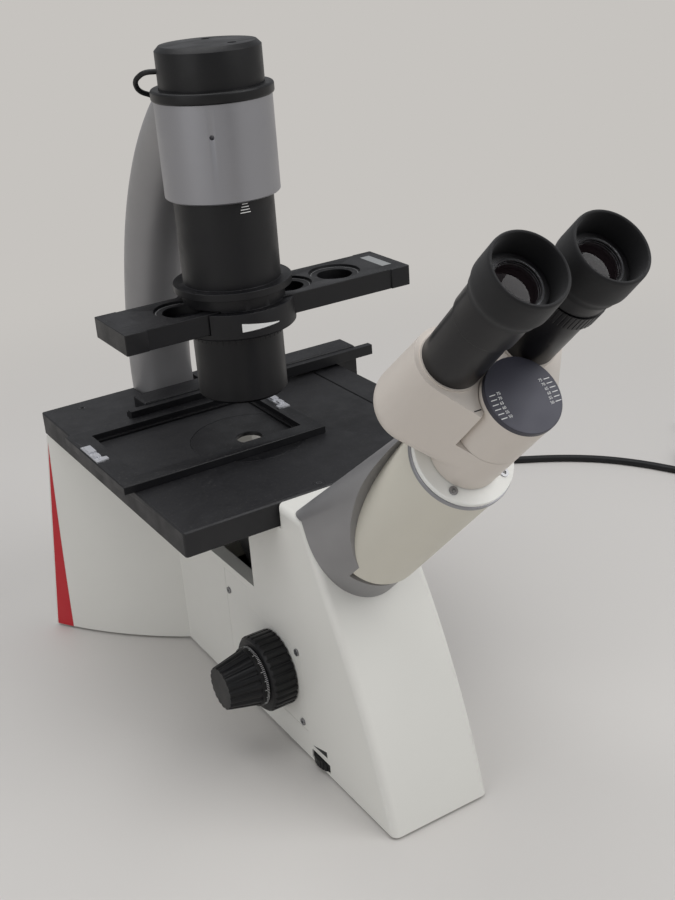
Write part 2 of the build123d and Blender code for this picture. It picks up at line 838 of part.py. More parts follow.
save(lamp_housing, "lamp_housing")

with BuildPart() as lamp_cap:
    disc(level(lamp_top), ring_radius, ring_height)
    fillet(lamp_cap.edges().filter_by(GeomType.CIRCLE), ring_height / 4)
    disc(level(lamp_top + ring_height), cap_radius, cap_top - lamp_top - ring_height)
    chamfer(lamp_cap.edges().filter_by(GeomType.CIRCLE).sort_by(Axis.Z)[-1], cap_bevel)
    disc(level(lamp_top), cap_radius - cap_wall, cap_top - lamp_top - cap_bevel - cap_wall,
         mode=Mode.SUBTRACT)
    for side in (-1, 1):
        disc(level(cap_top, cap_hole_x, side * cap_hole_y), cap_hole, -cap_bevel, mode=Mode.SUBTRACT)
    lead_out = Vector(*lamp_lead_route[1]) - Vector(*lamp_lead_route[0])
    lead_hole = Plane(origin=place(lamp_lead_route[0]), x_dir=(0, 0, 1), z_dir=lead_out)
    disc(lead_hole.offset(-overrun), lamp_lead_diameter / 2 + fit_gap, 3 * overrun, mode=Mode.SUBTRACT)
save(lamp_cap, "lamp_cap")

# Lamp module: board with its light source below and cooling fins above
with BuildPart() as led_module:
    board = lamp_top + slip_gap
    disc(level(board), led_radius, led_board_thick)
    disc(level(board), led_die, -led_dome)
    for step in range(led_fins):
        y = (step - (led_fins - 1) / 2) * led_fin_pitch
        bar(level(board + led_board_thick), (-led_fin_half, y - led_fin_thick / 2),
            (led_fin_half, y + led_fin_thick / 2), led_fin_height)
    disc(level(lamp_top), led_radius, slip_gap, bore=lamp_window)
save(led_module, "led_module")

# Condenser
channel_half = slider_half + slide_gap
with BuildPart() as condenser_head:
    disc(level(head_bottom), head_radius, head_top - head_bottom)
    disc(level(head_top), neck_radius, flange_bottom - head_top)
    disc(level(flange_bottom), flange_radius, flange_thick)
    disc(level(flange_bottom), tube_radius, tube_top - flange_bottom)
    chamfer(condenser_head.edges().filter_by(GeomType.CIRCLE).group_by(Axis.Z)[0], stage_edge)
    bar(level(slider_bottom - slide_gap), (-2 * head_radius, -channel_half), (2 * head_radius, channel_half),
        slider_top - slider_bottom + 2 * slide_gap, mode=Mode.SUBTRACT)
    disc(level(head_bottom), spigot_radius - spigot_wall, tube_top - head_bottom, mode=Mode.SUBTRACT)
    disc(level(flange_bottom), tube_radius - tube_wall, tube_top - flange_bottom, mode=Mode.SUBTRACT)
    disc(level(head_bottom), spigot_radius, aperture_ring_bottom - head_bottom,
         bore=spigot_radius - spigot_wall)
save(condenser_head, "condenser_head")

with BuildPart() as aperture_ring:
    disc(level(aperture_ring_bottom + fit_gap), aperture_ring_radius,
         head_bottom - aperture_ring_bottom - 2 * fit_gap, bore=spigot_radius + fit_gap)
    grip_cuts(level(aperture_ring_bottom), aperture_ring_radius + grip_notch / 2,
              head_bottom - aperture_ring_bottom, grip_notch, grip_count)
save(aperture_ring, "aperture_ring")

with BuildPart() as condenser_barrel:
    disc(level(barrel_bottom), barrel_radius, aperture_ring_bottom - barrel_bottom)
    chamfer(condenser_barrel.edges().filter_by(GeomType.CIRCLE).sort_by(Axis.Z)[0], 2 * stage_edge)
    disc(level(barrel_bottom), condenser_glass - barrel_wall / 2,
         aperture_ring_bottom - barrel_bottom - barrel_wall, mode=Mode.SUBTRACT)
    disc(level(barrel_bottom), condenser_glass + fit_gap, condenser_glass_thick + stage_edge,
         mode=Mode.SUBTRACT)
    disc(level(barrel_bottom), spigot_radius - spigot_wall, aperture_ring_bottom - barrel_bottom,
         mode=Mode.SUBTRACT)
save(condenser_barrel, "condenser_barrel")

with BuildPart() as condenser_lens:
    disc(level(barrel_bottom + stage_edge), condenser_glass, condenser_glass_thick)
save(condenser_lens, "condenser_lens")

# Phase slider: grips at both ends, a waist between them, four places in a row
with BuildPart() as phase_slider:
    thick = slider_top - slider_bottom
    bar(level(slider_bottom), (-slider_left, -slider_half), (slider_right, slider_half), thick)
    fillet(phase_slider.edges().filter_by(Axis.Z), stage_edge)
    waist_cut = slider_half - slider_waist
    for side in (-1, 1):
        bar(level(slider_bottom), (-slider_left + slider_grip, side * slider_half - waist_cut),
            (slider_right - slider_grip, side * slider_half + waist_cut), thick, mode=Mode.SUBTRACT)
    for step in slider_places:
        disc(level(slider_top, step * slider_pitch), slider_recess, -slider_recess_depth, mode=Mode.SUBTRACT)
        disc(level(slider_bottom, step * slider_pitch), slider_ring, thick, mode=Mode.SUBTRACT)
save(phase_slider, "phase_slider")

# Phase rings: a plate in each place, with its clear window
with BuildPart() as phase_rings:
    for step in slider_places:
        disc(level(slider_bottom + 2 * slider_recess_depth, step * slider_pitch), slider_ring - fit_gap,
             slider_recess_depth, bore=slider_window - step)
save(phase_rings, "phase_rings")

# Mechanical stage: guide on the stage's right edge
with BuildPart() as y_guide:
    bar(level(stage_top - guide_thick), (guide_left, -guide_front), (guide_right, guide_back), guide_thick)
    chamfer(y_guide.faces().sort_by(Axis.Z)[-1].edges(), stage_edge / 2)
    bar(level(stage_top - guide_thick / 2 - guide_groove / 2), (guide_right - guide_groove, -guide_front),
        (guide_right, guide_back), guide_groove, mode=Mode.SUBTRACT)
save(y_guide, "y_guide")

with BuildPart() as y_carriage:
    bar(level(carriage_bottom), (guide_right + slip_gap, carriage_front), (carriage_right, carriage_back),
        bar_bottom - carriage_bottom)
    tongue_low = stage_top - guide_thick / 2 - guide_groove / 2 + fit_gap
    bar(level(tongue_low), (guide_right - guide_groove + slip_gap, carriage_front),
        (carriage_right, carriage_back), guide_groove - 2 * fit_gap)
    disc(level(carriage_bottom, drive_x, drive_y), drive_sleeve + fit_gap,
         bar_bottom - carriage_bottom - overrun, mode=Mode.SUBTRACT)
save(y_carriage, "y_carriage")

groove_low = (bar_bottom + rail_top) / 2 - tongue_half
with BuildPart() as x_guide_bar:
    bar(level(bar_bottom), (-bar_left, bar_front), (bar_right, bar_back), bar_top - bar_bottom)
    chamfer(x_guide_bar.faces().sort_by(Axis.Z)[-1].edges(), stage_edge)
    bar(level(groove_low - slide_gap), (-bar_left, bar_front), (bar_right, rail_back + slip_gap),
        2 * (tongue_half + slide_gap), mode=Mode.SUBTRACT)
save(x_guide_bar, "x_guide_bar")

with BuildPart() as x_rail:
    bar(level(bar_bottom + slip_gap), (-rail_left, rail_front), (rail_right, bar_front - slip_gap),
        rail_top - bar_bottom - slip_gap)
    bar(level(groove_low), (-rail_left, rail_front), (rail_right, rail_back), 2 * tongue_half)
save(x_rail, "x_rail")

clip_inset = clip_width / 2 + stage_edge
clip_places = ((-frame_left + clip_inset, -1), (frame_right - clip_inset, 1))
with BuildPart() as specimen_frame:
    bar(level(frame_bottom), (-frame_left, -frame_front), (frame_right, rail_front), frame_top - frame_bottom)
    chamfer(specimen_frame.faces().sort_by(Axis.Z)[-1].edges(), stage_edge / 2)
    bar(level(frame_bottom + ledge_thick), (-opening_left, -opening_front), (opening_right, opening_back),
        frame_top - frame_bottom, mode=Mode.SUBTRACT)
    bar(level(frame_bottom), (-opening_left + ledge_width, -opening_front + ledge_width),
        (opening_right - ledge_width, opening_back - ledge_width), frame_top - frame_bottom,
        mode=Mode.SUBTRACT)
    for x, side in clip_places:
        disc(level(frame_top, x, clip_y + clip_length), clip_pivot, clip_thick)
save(specimen_frame, "specimen_frame")

for (x, side), name in zip(clip_places, ("frame_clip_left", "frame_clip_right")):
    with BuildPart() as frame_clip:
        with BuildSketch(level(frame_top + fit_gap, x, clip_y + clip_length / 2)) as clip_face:
            RectangleRounded(clip_width, clip_length + clip_width, clip_width / 3)
        extrude(clip_face.sketch, amount=clip_thick)
        disc(level(frame_top, x, clip_y + clip_length), clip_pivot + fit_gap, overrun, mode=Mode.SUBTRACT)
        reach = -side * (clip_width / 2 + clip_hook)
        bar(level(frame_top + fit_gap, x, clip_y),
            (min(reach, 0), -clip_hook), (max(reach, 0), clip_hook), clip_thick)
        fillet(frame_clip.edges().filter_by(Axis.Z).filter_by(GeomType.LINE), clip_thick / 4)
    save(frame_clip, name)

# Coaxial stage drive: the upper knob is on a sleeve, the lower one on the shaft in it
drive_top = bar_bottom - overrun - slip_gap
with BuildPart() as y_drive_knob:
    upper = carriage_bottom - drive_gap - drive_knob_height
    disc(level(upper, drive_x, drive_y), drive_upper_radius, drive_knob_height)
    chamfer(y_drive_knob.edges(), stage_edge)
    grip_cuts(level(upper, drive_x, drive_y), drive_upper_radius, drive_knob_height, grip_notch,
              grip_count // 2)
    disc(level(upper, drive_x, drive_y), drive_sleeve, drive_top - upper)
    disc(level(upper, drive_x, drive_y), drive_shaft + fit_gap, drive_top - upper, mode=Mode.SUBTRACT)
save(y_drive_knob, "y_drive_knob")

with BuildPart() as x_drive_knob:
    lower = upper - drive_gap - drive_knob_height
    disc(level(lower, drive_x, drive_y), drive_lower_radius, drive_knob_height)
    chamfer(x_drive_knob.edges(), stage_edge)
    grip_cuts(level(lower, drive_x, drive_y), drive_lower_radius, drive_knob_height, grip_notch,
              grip_count // 2)
    disc(level(lower, drive_x, drive_y), drive_shaft, drive_top - lower)
save(x_drive_knob, "x_drive_knob")


def knob_plane(side, x):
    """A plane square to the focus axis on one side of the stand, facing outwards."""
    return Plane(origin=(axis_x + side * x, axis_y + focus_y, focus_z), x_dir=(0, 1, 0), z_dir=(side, 0, 0))


# Focus drive: coarse knobs on a tube with the pinion, fine knobs on the shaft through it
with BuildPart() as coarse_knobs:
    for side in (-1, 1):
        disc(knob_plane(side, coarse_start), coarse_radius, coarse_end - coarse_start)
        rim = coarse_knobs.edges().filter_by(GeomType.CIRCLE).sort_by(Axis.X)
        chamfer(rim[-1] if side > 0 else rim[0], 2 * stage_edge)
        grip_cuts(knob_plane(side, coarse_start), coarse_radius, coarse_end, coarse_rib, coarse_ribs)
        disc(knob_plane(side, coarse_start), coarse_shaft, coarse_end - coarse_start, mode=Mode.SUBTRACT)
save(coarse_knobs, "coarse_knobs")

with BuildPart() as fine_knobs:
    for side in (-1, 1):
        disc(knob_plane(side, coarse_end + slip_gap), scale_radius, scale_end - coarse_end - slip_gap)
        cone(knob_plane(side, scale_end), fine_radius, fine_nose, fine_end - scale_end)
        with BuildSketch(knob_plane(side, scale_end)) as wide:
            with PolarLocations(fine_radius + fine_rib / 2, fine_ribs):
                Circle(2 * fine_rib)
        with BuildSketch(knob_plane(side, fine_end)) as narrow:
            with PolarLocations(fine_nose + fine_rib / 2, fine_ribs):
                Circle(1.4 * fine_rib)
        for low_face, high_face in zip(wide.sketch.faces(), narrow.sketch.faces()):
            loft([low_face, high_face], mode=Mode.SUBTRACT)
        disc(knob_plane(side, coarse_end), fine_shaft, fine_end - coarse_end - 2 * fine_rib,
             mode=Mode.SUBTRACT)
save(fine_knobs, "fine_knobs")

pitch_radius = tooth_module * pinion_teeth / 2
tooth_pitch = pi * tooth_module
tooth_wide = tooth_pitch * tooth_wide_share
tooth_tall = tooth_module * tooth_tall_share
pinion_start = -leg_inner - leg_thick
with BuildPart() as focus_tube:
    disc(knob_plane(1, -coarse_end), coarse_shaft, 2 * coarse_end)
    with BuildSketch(knob_plane(1, pinion_start)) as gear:
        Circle(pitch_radius - tooth_tall / 2 - tooth_gap)
        with PolarLocations(pitch_radius - tooth_tall / 4, pinion_teeth):
            Rectangle(1.5 * tooth_tall, tooth_wide)
    extrude(gear.sketch, amount=leg_thick)
    disc(knob_plane(1, -coarse_end), fine_shaft + fit_gap, 2 * coarse_end, mode=Mode.SUBTRACT)
save(focus_tube, "focus_tube")

with BuildPart() as focus_shaft:
    reach = fine_end - 2 * fine_rib
    disc(knob_plane(1, -reach), fine_shaft, 2 * reach)
save(focus_shaft, "focus_shaft")

# Focus bracket: two cheeks with the bearings, and the guide behind the legs
cheek_inner = leg_inner + leg_thick + seam_gap
rack_face = focus_y + pitch_radius + tooth_tall / 2 + tooth_gap
guide_face = rack_face + leg_depth + fit_gap
with BuildPart() as focus_bracket:
    bar(level(plate_top), (-cheek_inner - bracket_cheek, -bracket_front),
        (cheek_inner + bracket_cheek, -bracket_back),
        leg_bottom - focus_travel_down - plate_top - 2 * slip_gap)
    for side in (-1, 1):
        inner = side * cheek_inner
        outer = side * (cheek_inner + bracket_cheek)
        bar(level(plate_top), (min(inner, outer), -bracket_front), (max(inner, outer), -bracket_back),
            bracket_top - plate_top)
        near = side * leg_inner
        bar(level(plate_top), (min(near, outer), guide_face), (max(near, outer), -bracket_back),
            bracket_top - plate_top)
    disc(knob_plane(1, -column_half), coarse_shaft + fit_gap, 2 * column_half, mode=Mode.SUBTRACT)
save(focus_bracket, "focus_bracket")

# Nosepiece: the turret's axis leans back, so that the objective in use stands upright
tilt = radians(turret_tilt)
turret_axis = Vector(0, sin(tilt), cos(tilt))
turret_back = Vector(0, cos(tilt), -sin(tilt))
turret_centre = Vector(axis_x, axis_y, seat_height) + turret_back * turret_pitch


def turret_plane(height):
    """A plane square to the turret's axis, at a height above its seats."""
    return Plane(origin=turret_centre + turret_axis * height, x_dir=(1, 0, 0), z_dir=turret_axis)


def objective_plane(turn, height=0):
    """The plane of one objective's seat; turn 0 is the one in use."""
    out = turret_back * -cos(radians(turn)) + Vector(1, 0, 0) * sin(radians(turn))
    aim = turret_axis * cos(tilt) + out * sin(tilt)
    seat = turret_centre + out * turret_pitch + aim * height
    return Plane(origin=seat, x_dir=turret_axis.cross(out), z_dir=aim)


objective_turns = [90 * step for step in range(len(objective_lengths))]
rim_drop = (turret_radius - turret_pitch) * tan(tilt)
hub_rise = (turret_pitch - turret_boss) * tan(tilt)
with BuildPart() as nosepiece_turret:
    disc(turret_plane(-turret_thick), turret_radius, turret_thick - rim_drop)
    cone(turret_plane(-rim_drop), turret_radius, turret_boss, rim_drop + hub_rise)
    grip_cuts(turret_plane(-turret_thick), turret_radius, turret_thick, turret_grip, turret_grips)
    for turn in objective_turns:
        disc(objective_plane(turn, -turret_seat_depth), objective_radius + seam_gap,
             2 * turret_seat_depth + overrun, mode=Mode.SUBTRACT)
        disc(objective_plane(turn, -2 * turret_thick), objective_radius - 2 * turret_seat_depth,
             3 * turret_thick, mode=Mode.SUBTRACT)
    disc(turret_plane(-2 * turret_thick), turret_bearing + fit_gap, 3 * turret_thick, mode=Mode.SUBTRACT)
save(nosepiece_turret, "nosepiece_turret")

with BuildPart() as objectives:
    for turn, length, end in zip(objective_turns, objective_lengths, objective_tips):
        seat = objective_plane(turn, -turret_seat_depth)
        body = length * objective_body_share
        disc(seat, objective_radius, body + turret_seat_depth)
        cone(objective_plane(turn, body), objective_radius, end, length - body)
        disc(objective_plane(turn, body / 2), objective_radius + overrun, 2 * objective_groove,
             bore=objective_radius - objective_groove, mode=Mode.SUBTRACT)
        disc(seat, objective_bore, length + 2 * turret_seat_depth, mode=Mode.SUBTRACT)
save(objectives, "objectives")

# Carrier: a slanted plate under the turret on a bar with two legs, one of them the rack
carrier_low = -turret_thick - slip_gap - carrier_thick
carrier_front = -shoulder_back + casting_wall + slip_gap
carrier_foot = seat_height - turret_thick - 2 * carrier_thick
with BuildPart() as nosepiece_carrier:
    disc(turret_plane(carrier_low), carrier_plate, carrier_thick)
    disc(turret_plane(carrier_low), turret_bearing, carrier_thick + turret_thick)
    bar(level(carrier_bar_z), (-leg_inner - leg_thick, carrier_front), (leg_inner + leg_thick, -carrier_back),
        carrier_foot + carrier_thick - carrier_bar_z)
    slab(upright(-leg_inner - leg_thick),
         ((carrier_front, carrier_foot), (-carrier_back, carrier_bar_z), (0, carrier_foot),
          (0, carrier_foot + carrier_thick), (-carrier_back, carrier_foot + carrier_thick)),
         2 * (leg_inner + leg_thick))
    for side in (-1, 1):
        near = side * leg_inner
        far = side * (leg_inner + leg_thick)
        bar(level(leg_bottom), (min(near, far), rack_face), (max(near, far), rack_face + leg_depth),
            leg_top - leg_bottom)
        bar(level(carrier_bar_z), (min(near, far), rack_face), (max(near, far), -carrier_back),
            leg_top - carrier_bar_z)
    bar(level(0), (-leg_inner, -front_foot), (leg_inner, -carrier_back), leg_top, mode=Mode.SUBTRACT)
    disc(level(0), light_radius, seat_height, mode=Mode.SUBTRACT)
    with BuildSketch(upright(-leg_inner - leg_thick)) as teeth:
        with Locations((focus_y + pitch_radius + tooth_tall / 4, focus_z)):
            with GridLocations(0, tooth_pitch, 1, rack_teeth):
                Rectangle(1.5 * tooth_tall, tooth_wide)
    extrude(teeth.sketch, amount=leg_thick)
save(nosepiece_carrier, "nosepiece_carrier")


def collar_section(along, half, middle, low, high, corner):
    """A closed section of the collar: half an ellipse below, rounded corners above."""
    with BuildSketch(viewing(along)) as section:
        with BuildLine():
            EllipticalCenterArc((0, middle), half, middle - low, start_angle=180, arc_size=180)
            Line((half, middle), (half, high - corner))
            RadiusArc((half, high - corner), (half - corner, high), -corner)
            Line((half - corner, high), (-half + corner, high))
            RadiusArc((-half + corner, high), (-half, high - corner), -corner)
            Line((-half, high - corner), (-half, middle))
        make_face()
    return section.sketch.face()


# Collar: it grows out of the column's front and top and runs up round the viewing tube
with BuildPart() as tube_collar:
    base = collar_section(-collar_base, collar_half, collar_mid, -collar_low, collar_high, collar_corner)
    rim = collar_section(-ring_plane, collar_rim, 0, -collar_rim, collar_rim, collar_rim - 2 * fit_gap)
    loft([base, rim], ruled=True)
    extrude(base, amount=-collar_sink)
    with BuildSketch(upright(-2 * collar_half)) as scoop:
        with BuildLine():
            ThreePointArc(*collar_scoop)
            Polyline(collar_scoop[2], (collar_scoop[2][0] - view_reach, collar_scoop[2][1]),
                     (collar_scoop[2][0] - view_reach, 0), (collar_scoop[0][0], 0), collar_scoop[0])
        make_face()
    extrude(scoop.sketch, amount=4 * collar_half, mode=Mode.SUBTRACT)
    disc(viewing(-view_low), view_radius + fit_gap, view_low, mode=Mode.SUBTRACT)
    disc(viewing(-2 * collar_base), light_bore, 2 * collar_base, mode=Mode.SUBTRACT)
    with BuildSketch(upright(-2 * collar_half)) as stand_side:
        with BuildLine():
            front_outline()
        make_face()
    extrude(stand_side.sketch, amount=4 * collar_half, mode=Mode.SUBTRACT)
    bar(level(0), (-2 * collar_half, -stage_front - slip_gap), (2 * collar_half, 0), 2 * column_top,
        mode=Mode.SUBTRACT)
save(tube_collar, "tube_collar")

with BuildPart() as viewing_tube:
    disc(viewing(-view_low), view_radius, view_low - ring_plane)
    tube_end = viewing_tube.faces().sort_by(Axis(viewing(0).origin, viewing(0).z_dir))[0]
    fillet(tube_end.edges(), view_round)
    disc(viewing(-view_low), light_bore, view_low, mode=Mode.SUBTRACT)
    disc(viewing(-lens_place), view_radius - view_wall, lens_place, mode=Mode.SUBTRACT)
    disc(viewing(-view_low + view_wall), view_radius - view_wall,
         view_low - lens_place - lens_lip - lens_thick - view_wall, mode=Mode.SUBTRACT)
    disc(viewing(-lens_place - lens_thick), lens_radius + fit_gap, lens_thick, mode=Mode.SUBTRACT)
save(viewing_tube, "viewing_tube")

with BuildPart() as tube_lens:
    disc(viewing(-lens_place - lens_thick), lens_radius, lens_thick)
save(tube_lens, "tube_lens")

# Head flange: a ring on the viewing tube, with the hollow spindle of both prism housings
with BuildPart() as head_flange:
    disc(viewing(0), head_flange_radius, head_flange_thick)
    disc(viewing(-ring_plane), silver_rim, ring_plane)
    disc(viewing(0), spindle_radius, dial_low)
    disc(viewing(-ring_plane), spindle_radius - spindle_wall, dial_low + overrun, mode=Mode.SUBTRACT)
    crosswise = Plane(origin=viewing(prism_middle).origin, x_dir=viewing(0).z_dir, z_dir=(1, 0, 0))
    with BuildSketch(crosswise) as window:
        Circle(spindle_window)
    extrude(window.sketch, amount=2 * spindle_radius, both=True, mode=Mode.SUBTRACT)
    for turn in head_flange_screw_turns:
        spot = viewing(0, head_flange_screw * cos(radians(turn)), head_flange_screw * sin(radians(turn)))
        disc(spot, screw_shank + fit_gap, head_flange_thick, mode=Mode.SUBTRACT)
save(head_flange, "head_flange")

with BuildPart() as pupil_dial:
    disc(viewing(dial_low), dial_radius, dial_top - dial_low)
    chamfer(pupil_dial.edges().filter_by(GeomType.CIRCLE).group_by(Axis.Z)[-1], dial_edge)
save(pupil_dial, "pupil_dial")


def prism_plan(along, side, end_radius):
    """The outline of a prism housing at one height: a band round the hub and the eyepiece's end."""
    with BuildSketch(viewing(along)) as plan:
        with BuildLine() as rounds:
            CenterArc((0, 0), hub_radius - slip_gap, 0, 360)
            CenterArc((side * pupil_offset_x, pupil_offset_n), end_radius, 0, 360)
        make_hull(rounds.edges())
    return plan.sketch.face()


def prism_body(housing, side):
    """One prism housing: a body round the eyepiece's axis, and its own half of the hub."""
    own_hub = (hub_split + slip_gap, hub_top) if side > 0 else (hub_low, hub_split)
    other_hub = (hub_low - overrun, hub_split + slip_gap) if side > 0 else (hub_split, hub_top + overrun)
    foot = prism_plan(hub_low, side, prism_foot_radius)
    head = prism_plan(prism_top, side, prism_end_radius)
    loft([foot, head], ruled=True)
    low_face = housing.faces().sort_by(Axis(viewing(0).origin, viewing(0).z_dir))[0]
    fillet(low_face.edges(), prism_round)
    room = 4 * prism_foot_radius
    near = (slip_gap, -room) if side > 0 else (-room, -room)
    far = (room, room) if side > 0 else (-slip_gap, room)
    bar(viewing(0), near, far, 2 * dial_top, mode=Mode.INTERSECT)
    disc(viewing(own_hub[0]), hub_radius, own_hub[1] - own_hub[0])
    disc(viewing(other_hub[0]), hub_radius + 2 * slip_gap, other_hub[1] - other_hub[0], mode=Mode.SUBTRACT)
    disc(viewing(0), spindle_radius + fit_gap, 2 * hub_top, mode=Mode.SUBTRACT)
    disc(eyepiece_plane(side, prism_top), sleeve_seat, sleeve_seat_high, bore=sleeve_radius + fit_gap)
    reach = sqrt(pupil_offset_x**2 + pupil_offset_n**2)
    along_face = Vector(side * pupil_offset_x / reach, pupil_offset_n / reach)
    out_of_face = Vector(side * pupil_offset_n / reach, -pupil_offset_x / reach)
    notch = [
        out_of_face * (hub_radius + depth) + along_face * run
        for depth, run in ((-prism_notch_depth, 0), (overrun, 0), (overrun, prism_notch),
                           (-prism_notch_depth, prism_notch))
    ]
    slab(viewing(other_hub[0]), [(corner.X, corner.Y) for corner in notch], other_hub[1] - other_hub[0],
         mode=Mode.SUBTRACT)


def prism_hollow(side):
    """The light path: across from the hub and up into the eyepiece sleeve."""
    bearing = degrees(asin(pupil_offset_x / sqrt(pupil_offset_x**2 + pupil_offset_n**2)))
    reach = sqrt(pupil_offset_x**2 + pupil_offset_n**2)
    with BuildSketch(viewing(prism_middle - prism_half)) as tunnel:
        with Locations((side * pupil_offset_x / 2, pupil_offset_n / 2)):
            Rectangle(2 * prism_half, reach, rotation=-side * bearing)
    extrude(tunnel.sketch, amount=2 * prism_half, mode=Mode.SUBTRACT)
    disc(viewing(prism_middle - prism_half, side * pupil_offset_x, pupil_offset_n),
         sleeve_bore - eyepiece_wall, prism_top, mode=Mode.SUBTRACT)


def eyepiece_plane(side, along):
    """A plane square to one eyepiece, at a distance up the viewing direction."""
    return viewing(along, side * pupil_offset_x, pupil_offset_n)


for side, word in ((-1, "left"), (1, "right")):
    with BuildPart() as prism_housing:
        prism_body(prism_housing, side)
        prism_hollow(side)
    save(prism_housing, f"prism_housing_{word}")

    with BuildPart() as eyepiece_sleeve:
        disc(eyepiece_plane(side, prism_top), sleeve_radius, sleeve_top - prism_top,
             bore=sleeve_bore + fit_gap)
    save(eyepiece_sleeve, f"eyepiece_sleeve_{word}")

    with BuildPart() as eyepiece:
        head_low = diopter_top if side > 0 else sleeve_top
        disc(eyepiece_plane(side, eyepiece_low), sleeve_bore, sleeve_top - eyepiece_low)
        if side > 0:
            disc(eyepiece_plane(side, sleeve_top), diopter_bore, diopter_top - sleeve_top)
        disc(eyepiece_plane(side, head_low + slip_gap), eyepiece_radius,
             eyepiece_shoulder - head_low - slip_gap)
        disc(eyepiece_plane(side, sleeve_top), eyepiece_neck, eyepiece_top - sleeve_top)
        disc(eyepiece_plane(side, eyepiece_low), sleeve_bore - eyepiece_wall,
             eyepiece_top - eyepiece_low - 2 * eye_lens_thick, mode=Mode.SUBTRACT)
        disc(eyepiece_plane(side, eyepiece_low), eye_lens_radius - eyepiece_wall, eyepiece_top,
             mode=Mode.SUBTRACT)
        disc(eyepiece_plane(side, eyepiece_top - eye_lens_thick - stage_edge), eye_lens_radius + fit_gap,
             2 * eye_lens_thick, mode=Mode.SUBTRACT)
    save(eyepiece, f"eyepiece_{word}")

    with BuildPart() as eye_lens:
        disc(eyepiece_plane(side, eyepiece_top - eye_lens_thick - stage_edge), eye_lens_radius,
             eye_lens_thick)
    save(eye_lens, f"eye_lens_{word}")

    with BuildPart() as eyecup:
        cone(eyepiece_plane(side, eyepiece_shoulder + seam_gap), cup_base, cup_belly,
             cup_belly_at - eyepiece_shoulder)
        cone(eyepiece_plane(side, cup_belly_at + seam_gap), cup_belly, cup_rim,
             cup_top - cup_belly_at - seam_gap)
        disc(eyepiece_plane(side, eyepiece_shoulder), eyepiece_neck + fit_gap, cup_top, mode=Mode.SUBTRACT)
        disc(eyepiece_plane(side, eyepiece_top - cup_floor), cup_inner, cup_top, mode=Mode.SUBTRACT)
    save(eyecup, f"eyecup_{word}")

with BuildPart() as diopter_ring:
    disc(eyepiece_plane(1, sleeve_top + seam_gap), diopter_radius, diopter_top - sleeve_top - seam_gap,
         bore=diopter_bore + fit_gap)
    grip_cuts(eyepiece_plane(1, sleeve_top), diopter_radius + grip_notch / 2, diopter_top, grip_notch,
              grip_count)
save(diopter_ring, "diopter_ring")

# Mains lead: connector, free stretch, put-away coil and plug

def along_run(points):
    """The path of straight runs joined by arcs as large as their runs allow, and its radii."""
    nodes = [Vector(*place(point)) for point in points]
    radii = []
    for before, corner, after in zip(nodes, nodes[1:], nodes[2:]):
        turn = radians((corner - before).get_angle(after - corner))
        shorter = min((corner - before).length, (after - corner).length)
        radii.append(bend_share * shorter / tan(turn / 2))
    return FilletPolyline(*nodes, radius=radii), radii


def hose(points, diameter):
    """A round tube along a route."""
    with BuildLine():
        path, radii = along_run(points)
    with BuildSketch(Plane(origin=path @ 0, z_dir=path % 0)) as section:
        Circle(diameter / 2)
    sweep(section.sketch, path=path)
    return path, radii


socket_mouth = rear_bulge + inlet_flange
with BuildPart() as lead_connector:
    for grown, run in ((-seam_gap, -connector_nose), (connector_collar, connector_body)):
        half, tall = connector_half + grown, connector_tall / 2 + grown
        bar(facing_back(socket_mouth, socket_x), (-half, lead_height - tall), (half, lead_height + tall), run)
    for sided, rise in ((-1, 1), (0, -1), (1, 1)):
        centre = (sided * pin_pitch, inlet_middle - rise * pin_half)
        bar(facing_back(socket_mouth - connector_nose, socket_x),
            (centre[0] - pin_half - seam_gap, centre[1] - pin_tall / 2 - seam_gap),
            (centre[0] + pin_half + seam_gap, centre[1] + pin_tall / 2 + seam_gap), pin_length,
            mode=Mode.SUBTRACT)
    relief_root = place((socket_x, socket_mouth + connector_body, lead_height))
    relief = Plane(origin=relief_root, x_dir=(-1, 0, 0), z_dir=(0, 1, 0))
    cone(relief, relief_start, relief_end, lead_exit_y - socket_mouth - connector_body)
save(lead_connector, "lead_connector")

lead_points = ((socket_x, lead_exit_y, lead_height),) + lead_route + (lead_end,)
with BuildPart() as mains_lead:
    lead_path, lead_radii = hose(lead_points, lead_diameter)
save(mains_lead, "mains_lead")

# Coil: the lead runs into it along its outer turn, on the side away from the object
heading = Vector(lead_end[0] - lead_route[-1][0], lead_end[1] - lead_route[-1][1], 0).normalized()
coil_side = Vector(-heading.Y, heading.X, 0)
coil_outer = coil_radius + lead_diameter * coil_rows / 2
coil_inner = coil_radius - lead_diameter * coil_rows / 2
coil_centre = Vector(*lead_end) + coil_side * (coil_outer - lead_diameter / 2)
with BuildPart() as mains_lead_coil:
    disc(level(0, coil_centre.X, coil_centre.Y), coil_outer, coil_layers * lead_diameter, bore=coil_inner)
save(mains_lead_coil, "mains_lead_coil")

# Plug: it lies beside the coil, in line with the outer turn
plug_z = plug_tall / 2
with BuildPart() as mains_plug:
    plug_x = coil_centre.X + coil_outer - lead_diameter / 2
    back = Plane(origin=place((plug_x, coil_centre.Y, plug_z)), x_dir=(-1, 0, 0), z_dir=(0, 1, 0))
    disc(back, lead_diameter / 2, plug_relief)
    cone(back.offset(plug_relief / 2), relief_end, relief_start, plug_relief / 2)
    bar(back.offset(plug_relief), (-plug_half, -plug_tall / 2), (plug_half, plug_tall / 2), plug_body)
    fillet(mains_plug.edges().filter_by(Axis.Y), plug_half / 4)
    face = back.offset(plug_relief + plug_body)
    for offset_x in (-plug_half / 2, plug_half / 2):
        bar(face, (offset_x - pin_half, -plug_tall / 6), (offset_x + pin_half, plug_tall / 6), plug_blade)
    with BuildSketch(face) as earth:
        with Locations((0, -plug_tall / 4)):
            Circle(2 * pin_half)
    extrude(earth.sketch, amount=plug_blade)
